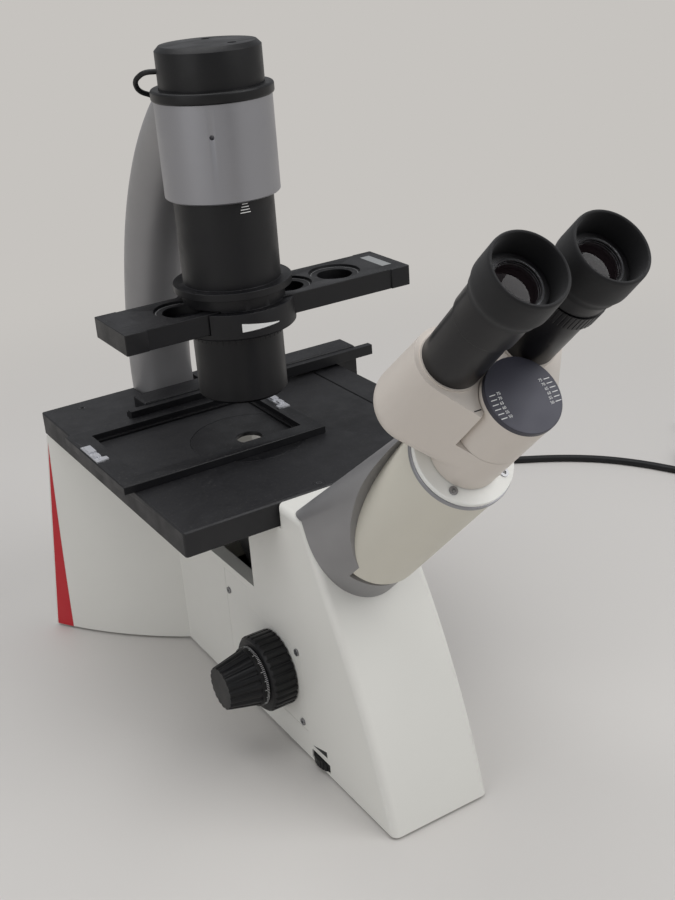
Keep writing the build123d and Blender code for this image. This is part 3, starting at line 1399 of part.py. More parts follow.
save(mains_plug, "mains_plug")

# Lead of the lamp: a loop from the cap into the top of the arm
with BuildPart() as lamp_lead:
    lamp_path, lamp_radii = hose(lamp_lead_route, lamp_lead_diameter)
save(lamp_lead, "lamp_lead")

coiled = lead_length - lead_path.length
print("lead radii", [round(radius, 1) for radius in lead_radii])
print("lead in the open", round(lead_path.length, 1))
print("turns in the coil", round(coiled / (2 * pi * coil_radius), 2))
print("lamp lead radii", [round(radius, 1) for radius in lamp_radii])
print("lamp lead length", round(lamp_path.length, 1))
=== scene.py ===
"""Looks of an inverted microscope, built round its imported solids, in metres.

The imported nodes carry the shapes. This script gives them their finishes, rounds their edges,
adds printed marks, scales and the flexible lead, and sets the table, lights and camera.
Sizes below are millimetres from the optical axis and the table, and are turned to metres once,
where a mesh is made.
"""

from __future__ import annotations

import json
import logging
import math
from dataclasses import dataclass
from enum import Enum

import bmesh
import bpy
import numpy as np
from mathutils import Matrix, Vector

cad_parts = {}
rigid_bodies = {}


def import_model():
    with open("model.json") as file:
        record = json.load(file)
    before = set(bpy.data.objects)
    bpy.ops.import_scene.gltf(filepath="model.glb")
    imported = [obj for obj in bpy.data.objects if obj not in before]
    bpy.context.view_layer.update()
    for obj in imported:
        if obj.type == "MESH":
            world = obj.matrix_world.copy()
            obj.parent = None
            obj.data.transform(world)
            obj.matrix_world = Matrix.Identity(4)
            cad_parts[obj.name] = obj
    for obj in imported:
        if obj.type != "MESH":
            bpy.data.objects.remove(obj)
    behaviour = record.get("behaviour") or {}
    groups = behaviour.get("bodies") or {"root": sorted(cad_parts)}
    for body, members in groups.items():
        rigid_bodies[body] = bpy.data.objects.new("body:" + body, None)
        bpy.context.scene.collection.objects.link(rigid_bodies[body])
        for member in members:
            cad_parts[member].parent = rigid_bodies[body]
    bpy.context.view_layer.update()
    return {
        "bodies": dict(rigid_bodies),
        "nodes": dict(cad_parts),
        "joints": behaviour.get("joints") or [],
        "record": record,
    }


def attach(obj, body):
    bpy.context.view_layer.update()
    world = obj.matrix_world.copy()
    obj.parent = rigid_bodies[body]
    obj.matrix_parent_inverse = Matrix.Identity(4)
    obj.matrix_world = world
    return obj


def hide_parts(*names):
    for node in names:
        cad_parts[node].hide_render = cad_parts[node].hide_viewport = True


LOG = logging.getLogger("microscope")
METRE = 0.001
OPTICAL_AXIS = np.array((-20.6, 87.9142, 0.0))
HALF_RIGHT = math.sqrt(0.5)
RING_PLANE = (-261.0, 276.0)
SOFT_TURN = math.radians(35)
FLAT_TURN = math.radians(0.4)
MERGE_COPY = 2e-6
MERGE_MADE = 1e-7
SUNK = 0.3
INK_THICK = 0.12


class Side(Enum):
    """The two sides of the stand, as the user sees them."""

    LEFT = -1
    RIGHT = 1

    @property
    def word(self) -> str:
        """The word used in the names of nodes and bodies."""
        return self.name.lower()


class Edge(Enum):
    """How far an edge is rounded, in millimetres."""

    FINE = 0.2
    MACHINED = 0.4


@dataclass(frozen=True)
class Axes:
    """A place with its own three directions, in millimetres from the optical axis."""

    origin: np.ndarray
    x: np.ndarray
    y: np.ndarray
    z: np.ndarray

    def put(self, points: np.ndarray) -> np.ndarray:
        """Carries local points out: P = O + px X + py Y + pz Z.

        Args:
            points: rows of local (x, y, z), in any array shape that ends in 3.

        Returns:
            The same array in the stand's own axes.
        """
        turn = np.stack((self.x, self.y, self.z))
        return self.origin + np.asarray(points, float) @ turn

    def moved(self, x: float = 0.0, y: float = 0.0, z: float = 0.0) -> Axes:
        """The same directions, from a point moved along them."""
        return Axes(self.put(np.array((x, y, z))), self.x, self.y, self.z)


def upright_at(x: float = 0.0, y: float = 0.0, z: float = 0.0) -> Axes:
    """Axes along the stand's own, at a point."""
    return Axes(np.array((x, y, z), float), *np.eye(3))


def viewing_at(along: float, x: float = 0.0, across: float = 0.0) -> Axes:
    """Axes of the slanted viewing tube: z runs up it towards the user, y points up and back.

    Args:
        along: distance up the tube from its ring plane.
        x: distance to the user's right of its axis.
        across: distance up and back, square to its axis.

    Returns:
        The axes at that point.
    """
    s = HALF_RIGHT
    rise = np.array((0, -s, s))
    back = np.array((0, s, s))
    origin = np.array((x, *RING_PLANE)) + rise * along + back * across
    return Axes(origin, np.array((1.0, 0, 0)), back, rise)


def sideways_at(side: Side, x: float, y: float, z: float) -> Axes:
    """Axes that look out of one side of the stand: z points outwards, y up."""
    way = float(side.value)
    right, up, out = np.array(((0, way, 0), (0, 0, 1.0), (way, 0, 0)))
    return Axes(np.array((way * x, y, z)), right, up, out)


def stand(name: str, data: bpy.types.ID) -> bpy.types.Object:
    """Makes an object of some data and puts it in the scene."""
    thing = bpy.data.objects.new(name, data)
    bpy.context.scene.collection.objects.link(thing)
    return thing


def srgb(red: float, green: float, blue: float) -> tuple[float, float, float, float]:
    """Turns screen values of 0 to 255 into linear ones: c = ((v + 0.055) / 1.055) ** 2.4."""
    values = np.array((red, green, blue)) / 255
    linear = np.where(values <= 0.04045, values / 12.92, ((values + 0.055) / 1.055) ** 2.4)
    return (float(linear[0]), float(linear[1]), float(linear[2]), 1.0)


class Graph:
    """A shader tree, with short ways to add nodes and join them."""

    def __init__(self, tree: bpy.types.NodeTree) -> None:
        """Keeps the tree."""
        self.tree = tree

    def add(self, kind: str, values: dict | None = None, **settings: object) -> bpy.types.Node:
        """Adds a node, sets its own settings, then the values of its inputs.

        Args:
            kind: the node's type, without its first word.
            values: values of inputs, by name or number.
            settings: the node's own settings.

        Returns:
            The node.
        """
        node = self.tree.nodes.new(f"ShaderNode{kind}")
        for label, value in settings.items():
            setattr(node, label, value)
        self.fill(node, values or {})
        return node

    @staticmethod
    def fill(node: bpy.types.Node, values: dict) -> None:
        """Sets values of a node's inputs, by name or number."""
        for socket, value in values.items():
            node.inputs[socket].default_value = value

    def join(self, *links: tuple) -> None:
        """Joins nodes: each link is a node, its output, the next node and that one's input."""
        for source, output, target, socket in links:
            self.tree.links.new(source.outputs[output], target.inputs[socket])


class EffectKit:
    """The shader groups that several finishes share, each made once."""

    def __init__(self) -> None:
        """Makes the groups."""
        self.grain = self._grain()
        self.mottle = self._mottle()
        self.dust = self._dust()
        self.streaks = self._streaks()
        self.scuffs = self._scuffs()

    @staticmethod
    def _group(name: str, inputs: dict[str, object], outputs: tuple[str, ...]) -> tuple:
        """Makes an empty group with named sockets, coloured where the name says Color or Dust.

        Args:
            name: the group's name.
            inputs: default of each input, by name.
            outputs: name of each output.

        Returns:
            The group's graph, its input node and its output node.
        """

        def kind(label: str) -> str:
            """The socket type of a label."""
            return "NodeSocketColor" if label in ("Color", "Dust") else "NodeSocketFloat"

        tree = bpy.data.node_groups.new(name, "ShaderNodeTree")
        for label, value in inputs.items():
            socket = tree.interface.new_socket(label, in_out="INPUT", socket_type=kind(label))
            socket.default_value = value
        for label in outputs:
            tree.interface.new_socket(label, in_out="OUTPUT", socket_type=kind(label))
        return Graph(tree), tree.nodes.new("NodeGroupInput"), tree.nodes.new("NodeGroupOutput")

    @staticmethod
    def _noise(graph: Graph, detail: float) -> bpy.types.Node:
        """A noise over the object's own coordinates."""
        noise = graph.add("TexNoise", {"Detail": detail})
        graph.join((graph.add("TexCoord"), "Object", noise, "Vector"))
        return noise

    def _grain(self) -> bpy.types.NodeTree:
        """Fine relief of a sprayed or blasted surface: two noises of different size, added."""
        graph, start, end = self._group("Fine grain", {"Scale": 900.0, "Fine Share": 0.4}, ("Height",))
        coarse, fine = self._noise(graph, 2.0), self._noise(graph, 2.0)
        triple = graph.add("Math", {1: 3.1}, operation="MULTIPLY")
        both = graph.add("Mix", data_type="FLOAT")
        graph.join(
            (start, "Scale", coarse, "Scale"), (start, "Scale", triple, 0), (triple, 0, fine, "Scale"),
            (start, "Fine Share", both, "Factor"), (coarse, "Fac", both, "A"), (fine, "Fac", both, "B"),
            (both, "Result", end, "Height"),
        )
        return graph.tree

    def _mottle(self) -> bpy.types.NodeTree:
        """Slow drift of a colour's lightness: colour times (1 + amount (noise - 0.5))."""
        graph, start, end = self._group(
            "Mottle", {"Color": (0.5, 0.5, 0.5, 1), "Scale": 30.0, "Amount": 0.1}, ("Color",)
        )
        noise = self._noise(graph, 3.0)
        centred = graph.add("Math", {1: 0.5}, operation="SUBTRACT")
        scaled = graph.add("Math", {2: 1.0}, operation="MULTIPLY_ADD")
        times = graph.add("VectorMath", operation="SCALE")
        graph.join(
            (start, "Scale", noise, "Scale"), (noise, "Fac", centred, 0), (centred, 0, scaled, 0),
            (start, "Amount", scaled, 1), (start, "Color", times, 0), (scaled, 0, times, "Scale"),
            (times, 0, end, "Color"),
        )
        return graph.tree

    def _dust(self) -> bpy.types.NodeTree:
        """Dust that settles on what faces up: specks of noise where the normal's z is high."""
        graph, start, end = self._group(
            "Settled dust",
            {"Color": (0.5, 0.5, 0.5, 1), "Dust": (0.45, 0.43, 0.4, 1), "Scale": 700.0, "Amount": 0.3},
            ("Color", "Mask"),
        )
        noise = self._noise(graph, 4.0)
        specks = graph.add("MapRange", {"From Min": 0.60, "From Max": 0.74})
        facing = graph.add("NewGeometry")
        split = graph.add("SeparateXYZ")
        upward = graph.add("MapRange", {"From Min": 0.3, "From Max": 0.95})
        both = graph.add("Math", operation="MULTIPLY")
        amount = graph.add("Math", operation="MULTIPLY")
        mix = graph.add("Mix", data_type="RGBA")
        graph.join(
            (start, "Scale", noise, "Scale"), (noise, "Fac", specks, "Value"), (facing, "Normal", split, 0),
            (split, "Z", upward, "Value"), (specks, 0, both, 0), (upward, 0, both, 1), (both, 0, amount, 0),
            (start, "Amount", amount, 1), (amount, 0, mix, "Factor"), (start, "Color", mix, "A"),
            (start, "Dust", mix, "B"), (mix, "Result", end, "Color"), (amount, 0, end, "Mask"),
        )
        return graph.tree

    def _streaks(self) -> bpy.types.NodeTree:
        """Turning marks round an upright axis: noise squeezed along the height."""
        graph, start, end = self._group("Turning marks", {"Across": 30.0, "Along": 2500.0}, ("Height",))
        scale = graph.add("CombineXYZ")
        stretch = graph.add("VectorMath", operation="MULTIPLY")
        noise = graph.add("TexNoise", {"Scale": 1.0, "Detail": 2.0})
        graph.join(
            (start, "Across", scale, "X"), (start, "Across", scale, "Y"), (start, "Along", scale, "Z"),
            (graph.add("TexCoord"), "Object", stretch, 0), (scale, 0, stretch, 1),
            (stretch, 0, noise, "Vector"), (noise, "Fac", end, "Height"),
        )
        return graph.tree

    def _scuffs(self) -> bpy.types.NodeTree:
        """Roughness of a handled surface: base plus amount times a thresholded noise."""
        graph, start, end = self._group(
            "Handling scuffs", {"Roughness": 0.4, "Scale": 60.0, "Amount": 0.12}, ("Roughness",)
        )
        noise = self._noise(graph, 5.0)
        ramp = graph.add("MapRange", {"From Min": 0.35, "From Max": 0.7})
        times = graph.add("Math", operation="MULTIPLY_ADD")
        graph.join(
            (start, "Scale", noise, "Scale"), (noise, "Fac", ramp, "Value"), (ramp, 0, times, 0),
            (start, "Amount", times, 1), (start, "Roughness", times, 2), (times, 0, end, "Roughness"),
        )
        return graph.tree


@dataclass(frozen=True)
class Surface:
    """What every finish has: a name, a colour and a gloss."""

    name: str
    colour: tuple[float, float, float, float]
    roughness: float = 0.45

    def make(self, kit: EffectKit) -> bpy.types.Material:
        """Builds the material once and returns it from then on.

        Args:
            kit: the shared shader groups.

        Returns:
            The material.
        """
        ready = bpy.data.materials.get(self.name)
        if ready:
            return ready
        material = bpy.data.materials.new(self.name)
        material.use_nodes = True
        self.build(Graph(material.node_tree), kit)
        return material

    def build(self, graph: Graph, kit: EffectKit) -> None:
        """Fills the material's graph."""
        raise NotImplementedError

    def base(self, graph: Graph, kit: EffectKit, drift: dict, scuffs: float) -> tuple:
        """Adds the mottled colour and the scuffed roughness.

        Args:
            graph: the material's graph.
            kit: the shared shader groups.
            drift: values of the mottle's inputs.
            scuffs: how far the roughness varies.

        Returns:
            The shader and the node of the mottled colour.
        """
        shader = graph.tree.nodes["Principled BSDF"]
        colour = graph.add("Group", node_tree=kit.mottle)
        graph.fill(colour, {"Color": self.colour, **drift})
        rough = graph.add("Group", node_tree=kit.scuffs)
        graph.fill(rough, {"Roughness": self.roughness, "Amount": scuffs})
        graph.join((rough, "Roughness", shader, "Roughness"))
        return shader, colour


@dataclass(frozen=True)
class Finish(Surface):
    """One opaque finish: its metal, coat, relief and dust."""

    metallic: float = 0.0
    coat: float = 0.0
    mottle: float = 0.06
    mottle_scale: float = 25.0
    grain_scale: float = 2200.0
    grain_share: float = 0.4
    grain_depth: float = 0.00002
    turned: float = 0.0
    dust: float = 0.0
    scuffs: float = 0.08
    sheen: float = 0.0
    specular: float = 0.5

    def build(self, graph: Graph, kit: EffectKit) -> None:
        """Fills the graph: mottle and dust into the colour, scuffs into the gloss, grain into the normal."""
        drift = {"Scale": self.mottle_scale, "Amount": self.mottle}
        shader, last = self.base(graph, kit, drift, self.scuffs)
        graph.fill(
            shader,
            {
                "Metallic": self.metallic, "Coat Weight": self.coat, "Sheen Weight": self.sheen,
                "Specular IOR Level": self.specular,
            },
        )
        if self.dust:
            dust = graph.add("Group", node_tree=kit.dust)
            graph.fill(dust, {"Amount": self.dust})
            graph.join((last, "Color", dust, "Color"))
            last = dust
        bump = graph.add("Bump", {"Strength": 1.0, "Distance": self.turned or self.grain_depth})
        relief = graph.add("Group", node_tree=kit.streaks if self.turned else kit.grain)
        if not self.turned:
            graph.fill(relief, {"Scale": self.grain_scale, "Fine Share": self.grain_share})
        graph.join(
            (last, "Color", shader, "Base Color"), (relief, "Height", bump, "Height"),
            (bump, "Normal", shader, "Normal"),
        )


@dataclass(frozen=True)
class Glass(Surface):
    """Lens glass, with the tint of its coating; the eye lenses' near-black tint is painted shade, standing
    for the dark inside of the eyepiece.
    """

    roughness: float = 0.01
    ior: float = 1.52
    coat: float = 1.0
    clear: float = 0.85
    mottle: float = 0.08
    scuffs: float = 0.03

    def build(self, graph: Graph, kit: EffectKit) -> None:
        """Fills the graph with a clear, tinted shader."""
        shader, colour = self.base(graph, kit, {"Amount": self.mottle}, self.scuffs)
        graph.fill(shader, {"Transmission Weight": self.clear, "IOR": self.ior, "Coat Weight": self.coat})
        graph.join((colour, "Color", shader, "Base Color"))


PAINTED = {"grain_scale": 1500, "grain_depth": 0.00004, "mottle": 0.03}
METALLIC = {"grain_scale": 2600, "grain_depth": 0.00003}
PRINTED = {"grain_scale": 2600, "grain_depth": 0.00001, "mottle": 0.04}
BODY_PAINT = Finish(
    "body_paint", srgb(226, 225, 219), 0.42, grain_scale=1500, grain_depth=0.00005, mottle=0.03, scuffs=0.1
)
HEAD_PAINT = Finish("head_paint", srgb(211, 203, 194), 0.40, scuffs=0.1, **PAINTED)
TUBE_PAINT = Finish("tube_paint", srgb(210, 206, 193), 0.42, **PAINTED)
FLANGE_PAINT = Finish("flange_paint", srgb(243, 243, 238), 0.40, **PAINTED)
GREY_PAINT = Finish("grey_metallic_paint", srgb(150, 149, 150), 0.42, metallic=0.55, mottle=0.05, **METALLIC)
SILVER_PAINT = Finish("silver_paint", srgb(152, 152, 156), 0.36, metallic=0.75, mottle=0.04, **METALLIC)
STAGE_BLACK = Finish(
    "stage_black", srgb(22, 22, 25), 0.46, metallic=0.1, specular=0.55, grain_scale=1900,
    grain_depth=0.00006, mottle=0.15, dust=0.10, scuffs=0.16,
)
TRIM_BLACK = Finish(
    "anodised_black", srgb(16, 16, 19), 0.38, metallic=0.1, specular=0.4, grain_depth=0.00004,
    mottle=0.12, dust=0.12, scuffs=0.14,
)
TURNED_BLACK = Finish(
    "turned_black", srgb(16, 16, 19), 0.34, metallic=0.2, specular=0.4, turned=0.00002, mottle=0.1, scuffs=0.1
)
BLACK_PLASTIC = Finish(
    "satin_black_plastic", srgb(13, 13, 15), 0.36, specular=0.35, grain_scale=1800, grain_depth=0.00004,
    mottle=0.12, dust=0.06, scuffs=0.14,
)
EYEPIECE_BLACK = Finish("eyepiece_black", srgb(15, 14, 17), 0.32, coat=0.05, specular=0.35, mottle=0.1)
RUBBER = Finish(
    "soft_rubber", srgb(20, 20, 22), 0.60, specular=0.3, grain_scale=1500, grain_depth=0.00008,
    mottle=0.12, dust=0.10, sheen=0.1,
)
FOOT_RUBBER = Finish(
    "foot_rubber", srgb(30, 30, 30), 0.75, grain_scale=1200, grain_depth=0.00008, mottle=0.15
)
SHEATH = Finish(
    "lead_sheath", srgb(16, 16, 18), 0.45, specular=0.35, grain_scale=1400, grain_depth=0.00004,
    mottle=0.1, dust=0.05,
)
DIAL_BLACK = Finish("dial_black", srgb(58, 58, 68), 0.38, metallic=0.3, grain_depth=0.00003, mottle=0.08)
STEEL = Finish("bright_steel", srgb(196, 197, 200), 0.28, metallic=1.0)
CLIP_STEEL = Finish("clip_steel", srgb(205, 206, 210), 0.34, metallic=0.6, mottle=0.05)
SCREW_STEEL = Finish("screw_steel", srgb(150, 150, 152), 0.35, metallic=0.9, mottle=0.05)
BRASS = Finish("plated_brass", srgb(190, 178, 150), 0.26, metallic=1.0)
WHITE_INK = Finish("white_ink", srgb(232, 232, 230), 0.5, **PRINTED)
GREY_INK = Finish("grey_ink", srgb(150, 150, 150), 0.5, **PRINTED)
RED_INK = Finish("red_band", srgb(190, 22, 36), 0.42, grain_scale=1500, grain_depth=0.00003, mottle=0.05)
BLACK_INK = Finish("black_ink", srgb(24, 24, 26), 0.45, **PRINTED)
LABEL = Finish(
    "pale_label", srgb(168, 170, 170), 0.35, metallic=0.5, grain_scale=2600, mottle=0.25, mottle_scale=300
)
MIRROR = Finish(
    "mirror_silver", srgb(236, 236, 240), 0.03, metallic=1.0, grain_depth=0.0, mottle=0.02, scuffs=0.01
)
BOARD = Finish("lamp_board", srgb(236, 234, 222), 0.3, grain_scale=900, grain_depth=0.00001, mottle=0.05)
# Eye lens glass tinted near black: painted shade standing for the dark inside of the eyepiece behind the
# lens.
EYE_GLASS_PAINTED_SHADE = Glass("eye_glass", (0.05, 0.035, 0.04, 1.0), ior=1.3, coat=0.0)
LENS_GLASS = Glass("coated_lens_glass", (0.75, 0.86, 0.92, 1.0))
DARK_GLASS = Glass("phase_glass", (0.05, 0.05, 0.06, 1.0), ior=1.3, coat=0.0)


class Maker:
    """Makes meshes from arrays, dresses nodes and keeps the loaded frame."""

    def __init__(self, frame: dict, kit: EffectKit) -> None:
        """Keeps the frame and the shared groups."""
        self.frame = frame
        self.kit = kit

    def dress(self, finish: Surface, *nodes: str) -> None:
        """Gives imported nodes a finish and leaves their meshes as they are."""
        material = finish.make(self.kit)
        for name in nodes:
            data = self.frame["nodes"][name].data
            data.materials.clear()
            data.materials.append(material)
        LOG.info("dressed %s in %s", ", ".join(nodes), finish.name)

    def rounded(self, finish: Finish, width: Edge, *nodes: str) -> None:
        """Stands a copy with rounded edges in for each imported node.

        The copy's loose triangles are merged and its flat faces joined, and a bevel of the given
        width then rounds each edge that turns by more than 35 degrees.

        Args:
            finish: the finish of the copies.
            width: how far the edges are rounded.
            nodes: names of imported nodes.
        """
        bodies = self.frame["record"]["behaviour"]["bodies"]
        for name in nodes:
            node = self.frame["nodes"][name]
            copy = node.copy()
            copy.data = node.data.copy()
            copy.name = f"{name}_rounded"
            copy.data.name = copy.name
            bpy.context.scene.collection.objects.link(copy)
            body = bmesh.new()
            body.from_mesh(copy.data)
            bmesh.ops.remove_doubles(body, verts=body.verts, dist=MERGE_COPY)
            bmesh.ops.dissolve_limit(
                body, angle_limit=FLAT_TURN, verts=body.verts, edges=body.edges, delimit={"NORMAL"}
            )
            body.to_mesh(copy.data)
            body.free()
            self._finish_mesh(copy, finish)
            bevel = copy.modifiers.new("rounded_edges", "BEVEL")
            bevel.width = width.value * METRE
            bevel.segments = 2
            bevel.limit_method = "ANGLE"
            bevel.angle_limit = SOFT_TURN
            bevel.use_clamp_overlap = True
            bevel.harden_normals = False
            copy.parent = None
            copy.matrix_world = Matrix.Identity(4)
            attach(copy, next(label for label, members in bodies.items() if name in members))
            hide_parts(name)
            LOG.info("rounded %s by %.1f mm", name, width.value)

    def _finish_mesh(self, piece: bpy.types.Object, finish: Surface) -> None:
        """Sets a mesh's material and smooths what turns by less than 35 degrees."""
        data = piece.data
        data.materials.clear()
        data.materials.append(finish.make(self.kit))
        data.polygons.foreach_set("use_smooth", np.ones(len(data.polygons), bool))
        data.set_sharp_from_angle(angle=SOFT_TURN)

    def mesh(
        self,
        name: str,
        points: np.ndarray,
        faces: list,
        finish: Surface,
        body: str,
        replaces: tuple[str, ...] = (),
    ) -> bpy.types.Object:
        """Makes a piece from points and faces.

        Args:
            name: the piece's name.
            points: rows of (x, y, z) in millimetres from the optical axis.
            faces: lists of indices into points.
            finish: its finish.
            body: the body that it rides on.
            replaces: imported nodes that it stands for.

        Returns:
            The piece.
        """
        data = bpy.data.meshes.new(name)
        data.from_pydata(((points + OPTICAL_AXIS) * METRE).tolist(), [], faces)
        shell = bmesh.new()
        shell.from_mesh(data)
        bmesh.ops.remove_doubles(shell, verts=shell.verts, dist=MERGE_MADE)
        bmesh.ops.recalc_face_normals(shell, faces=shell.faces)
        shell.to_mesh(data)
        shell.free()
        piece = stand(name, data)
        self._finish_mesh(piece, finish)
        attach(piece, body)
        if replaces:
            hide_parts(*replaces)
        LOG.info("made %s on %s, %d faces", name, body, len(data.polygons))
        return piece

    def turned(
        self,
        name: str,
        profile: np.ndarray,
        axes: Axes,
        finish: Surface,
        body: str,
        replaces: tuple[str, ...] = (),
        steps: int = 96,
    ) -> bpy.types.Object:
        """Turns a closed profile round an axis: P(t, a) = O + r (cos a X + sin a Y) + h Z.

        Args:
            name: the piece's name.
            profile: rows of radius and height, from first to last point of a loop.
            axes: z is the axis.
            finish: its finish.
            body: the body that it rides on.
            replaces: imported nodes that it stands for.
            steps: faces round the axis.

        Returns:
            The piece.
        """
        angles = np.linspace(0, 2 * np.pi, steps, endpoint=False)
        radius = profile[:, :1] * np.ones(steps)
        height = profile[:, 1:2] * np.ones(steps)
        local = np.stack((radius * np.cos(angles), radius * np.sin(angles), height), axis=-1)
        near = np.arange(local.size // 3).reshape(radius.shape)
        far = np.roll(near, -1, axis=0)
        quads = np.stack((near, np.roll(near, -1, axis=1), np.roll(far, -1, axis=1), far), axis=-1)
        if max(profile[0, 0], profile[-1, 0]) < 1e-6:
            quads = quads[:-1]
        faces = quads.reshape(-1, 4).tolist()
        return self.mesh(name, axes.put(local.reshape(-1, 3)), faces, finish, body, replaces)

    def plates(
        self,
        name: str,
        outlines: list[np.ndarray],
        axes: Axes,
        finish: Finish,
        body: str,
        thick: float = INK_THICK,
    ) -> bpy.types.Object:
        """Makes thin printed plates: each outline a little under z = 0 and again at z = thick, with its rim.

        Args:
            name: the piece's name.
            outlines: rows of local (x, y) for each plate.
            axes: z is square to the plates.
            finish: their finish.
            body: the body that they ride on.
            thick: how far they stand out.

        Returns:
            The piece.
        """
        points, faces, first = [], [], 0
        for outline in outlines:
            count = len(outline)
            low = np.column_stack((outline, np.full(count, -SUNK * thick)))
            high = np.column_stack((outline, np.full(count, thick)))
            points.append(np.vstack((low, high)))
            ring = np.arange(count)
            faces.append((first + ring[::-1]).tolist())
            faces.append((first + count + ring).tolist())
            after = np.roll(ring, -1)
            faces += (first + np.stack((ring, after, after + count, ring + count), axis=-1)).tolist()
            first += 2 * count
        return self.mesh(name, axes.put(np.vstack(points)), faces, finish, body)

    def wraps(
        self,
        name: str,
        marks: np.ndarray,
        radius: float,
        axes: Axes,
        finish: Finish,
        body: str,
        thick: float = INK_THICK,
    ) -> bpy.types.Object:
        """Makes marks printed round a cylinder: each is a curved plate of eight spans.

        A mark's point at share t across it is r (cos a, sin a), h, with a running between its angles
        and h between the straight lines that join its corners.

        Args:
            name: the piece's name.
            marks: rows of first angle, last angle, low and high at the first, low and high at the last.
            radius: the cylinder's radius.
            axes: z is the cylinder's axis.
            finish: their finish.
            body: the body that they ride on.
            thick: how far they stand out.

        Returns:
            The piece.
        """
        count, columns = len(marks), 9
        share = np.linspace(0, 1, columns)
        angle = np.radians(marks[:, :1] + (marks[:, 1:2] - marks[:, :1]) * share)
        low = marks[:, 2:3] + (marks[:, 4:5] - marks[:, 2:3]) * share
        high = marks[:, 3:4] + (marks[:, 5:6] - marks[:, 3:4]) * share
        under, over = radius - SUNK * thick, radius + thick
        layers = [
            np.stack((level * np.cos(angle), level * np.sin(angle), height), axis=-1)
            for level, height in ((under, low), (over, low), (over, high), (under, high))
        ]
        local = np.stack(layers, axis=2)
        index = np.arange(count * columns * 4).reshape(count, columns, 4)
        around = np.roll(index, -1, axis=2)
        quads = np.stack((index[:, :-1], around[:, :-1], around[:, 1:], index[:, 1:]), axis=-1).reshape(-1, 4)
        faces = quads.tolist() + index[:, 0, :].tolist() + index[:, -1, ::-1].tolist()
        return self.mesh(name, axes.put(local.reshape(-1, 3)), faces, finish, body)

    def digits(self, name: str, items: list, axes: Axes, finish: Finish, body: str, size: float) -> None:
        """Prints plain numbers on a flat face.

        Args:
            name: the piece's name.
            items: rows of text, local x and local y.
            axes: z is square to the face.
            finish: the ink.
            body: the body that they ride on.
            size: height of the numbers.
        """
        points, faces, first = [], [], 0
        for text, x, y in items:
            curve = bpy.data.curves.new(name, "FONT")
            curve.body = text
            curve.size = size
            curve.align_x = "CENTER"
            curve.align_y = "CENTER"
            curve.extrude = 0.05
            curve.resolution_u = 2
            holder = stand(name, curve)
            bpy.context.view_layer.update()
            evaluated = holder.evaluated_get(bpy.context.evaluated_depsgraph_get())
            data = bpy.data.meshes.new_from_object(evaluated)
            bpy.data.objects.remove(holder)
            flat = np.empty(len(data.vertices) * 3)
            data.vertices.foreach_get("co", flat)
            points.append(flat.reshape(-1, 3) + (x, y, 0))
            faces += [[first + corner for corner in face.vertices] for face in data.polygons]
            first += len(data.vertices)
            bpy.data.meshes.remove(data)
        self.mesh(name, axes.put(np.vstack(points)), faces, finish, body)


def box_outline(x: float, y: float, width: float, height: float) -> np.ndarray:
    """The corners of a rectangle about (x, y)."""
    return np.array(((-1, -1), (1, -1), (1, 1), (-1, 1))) * (width / 2, height / 2) + (x, y)


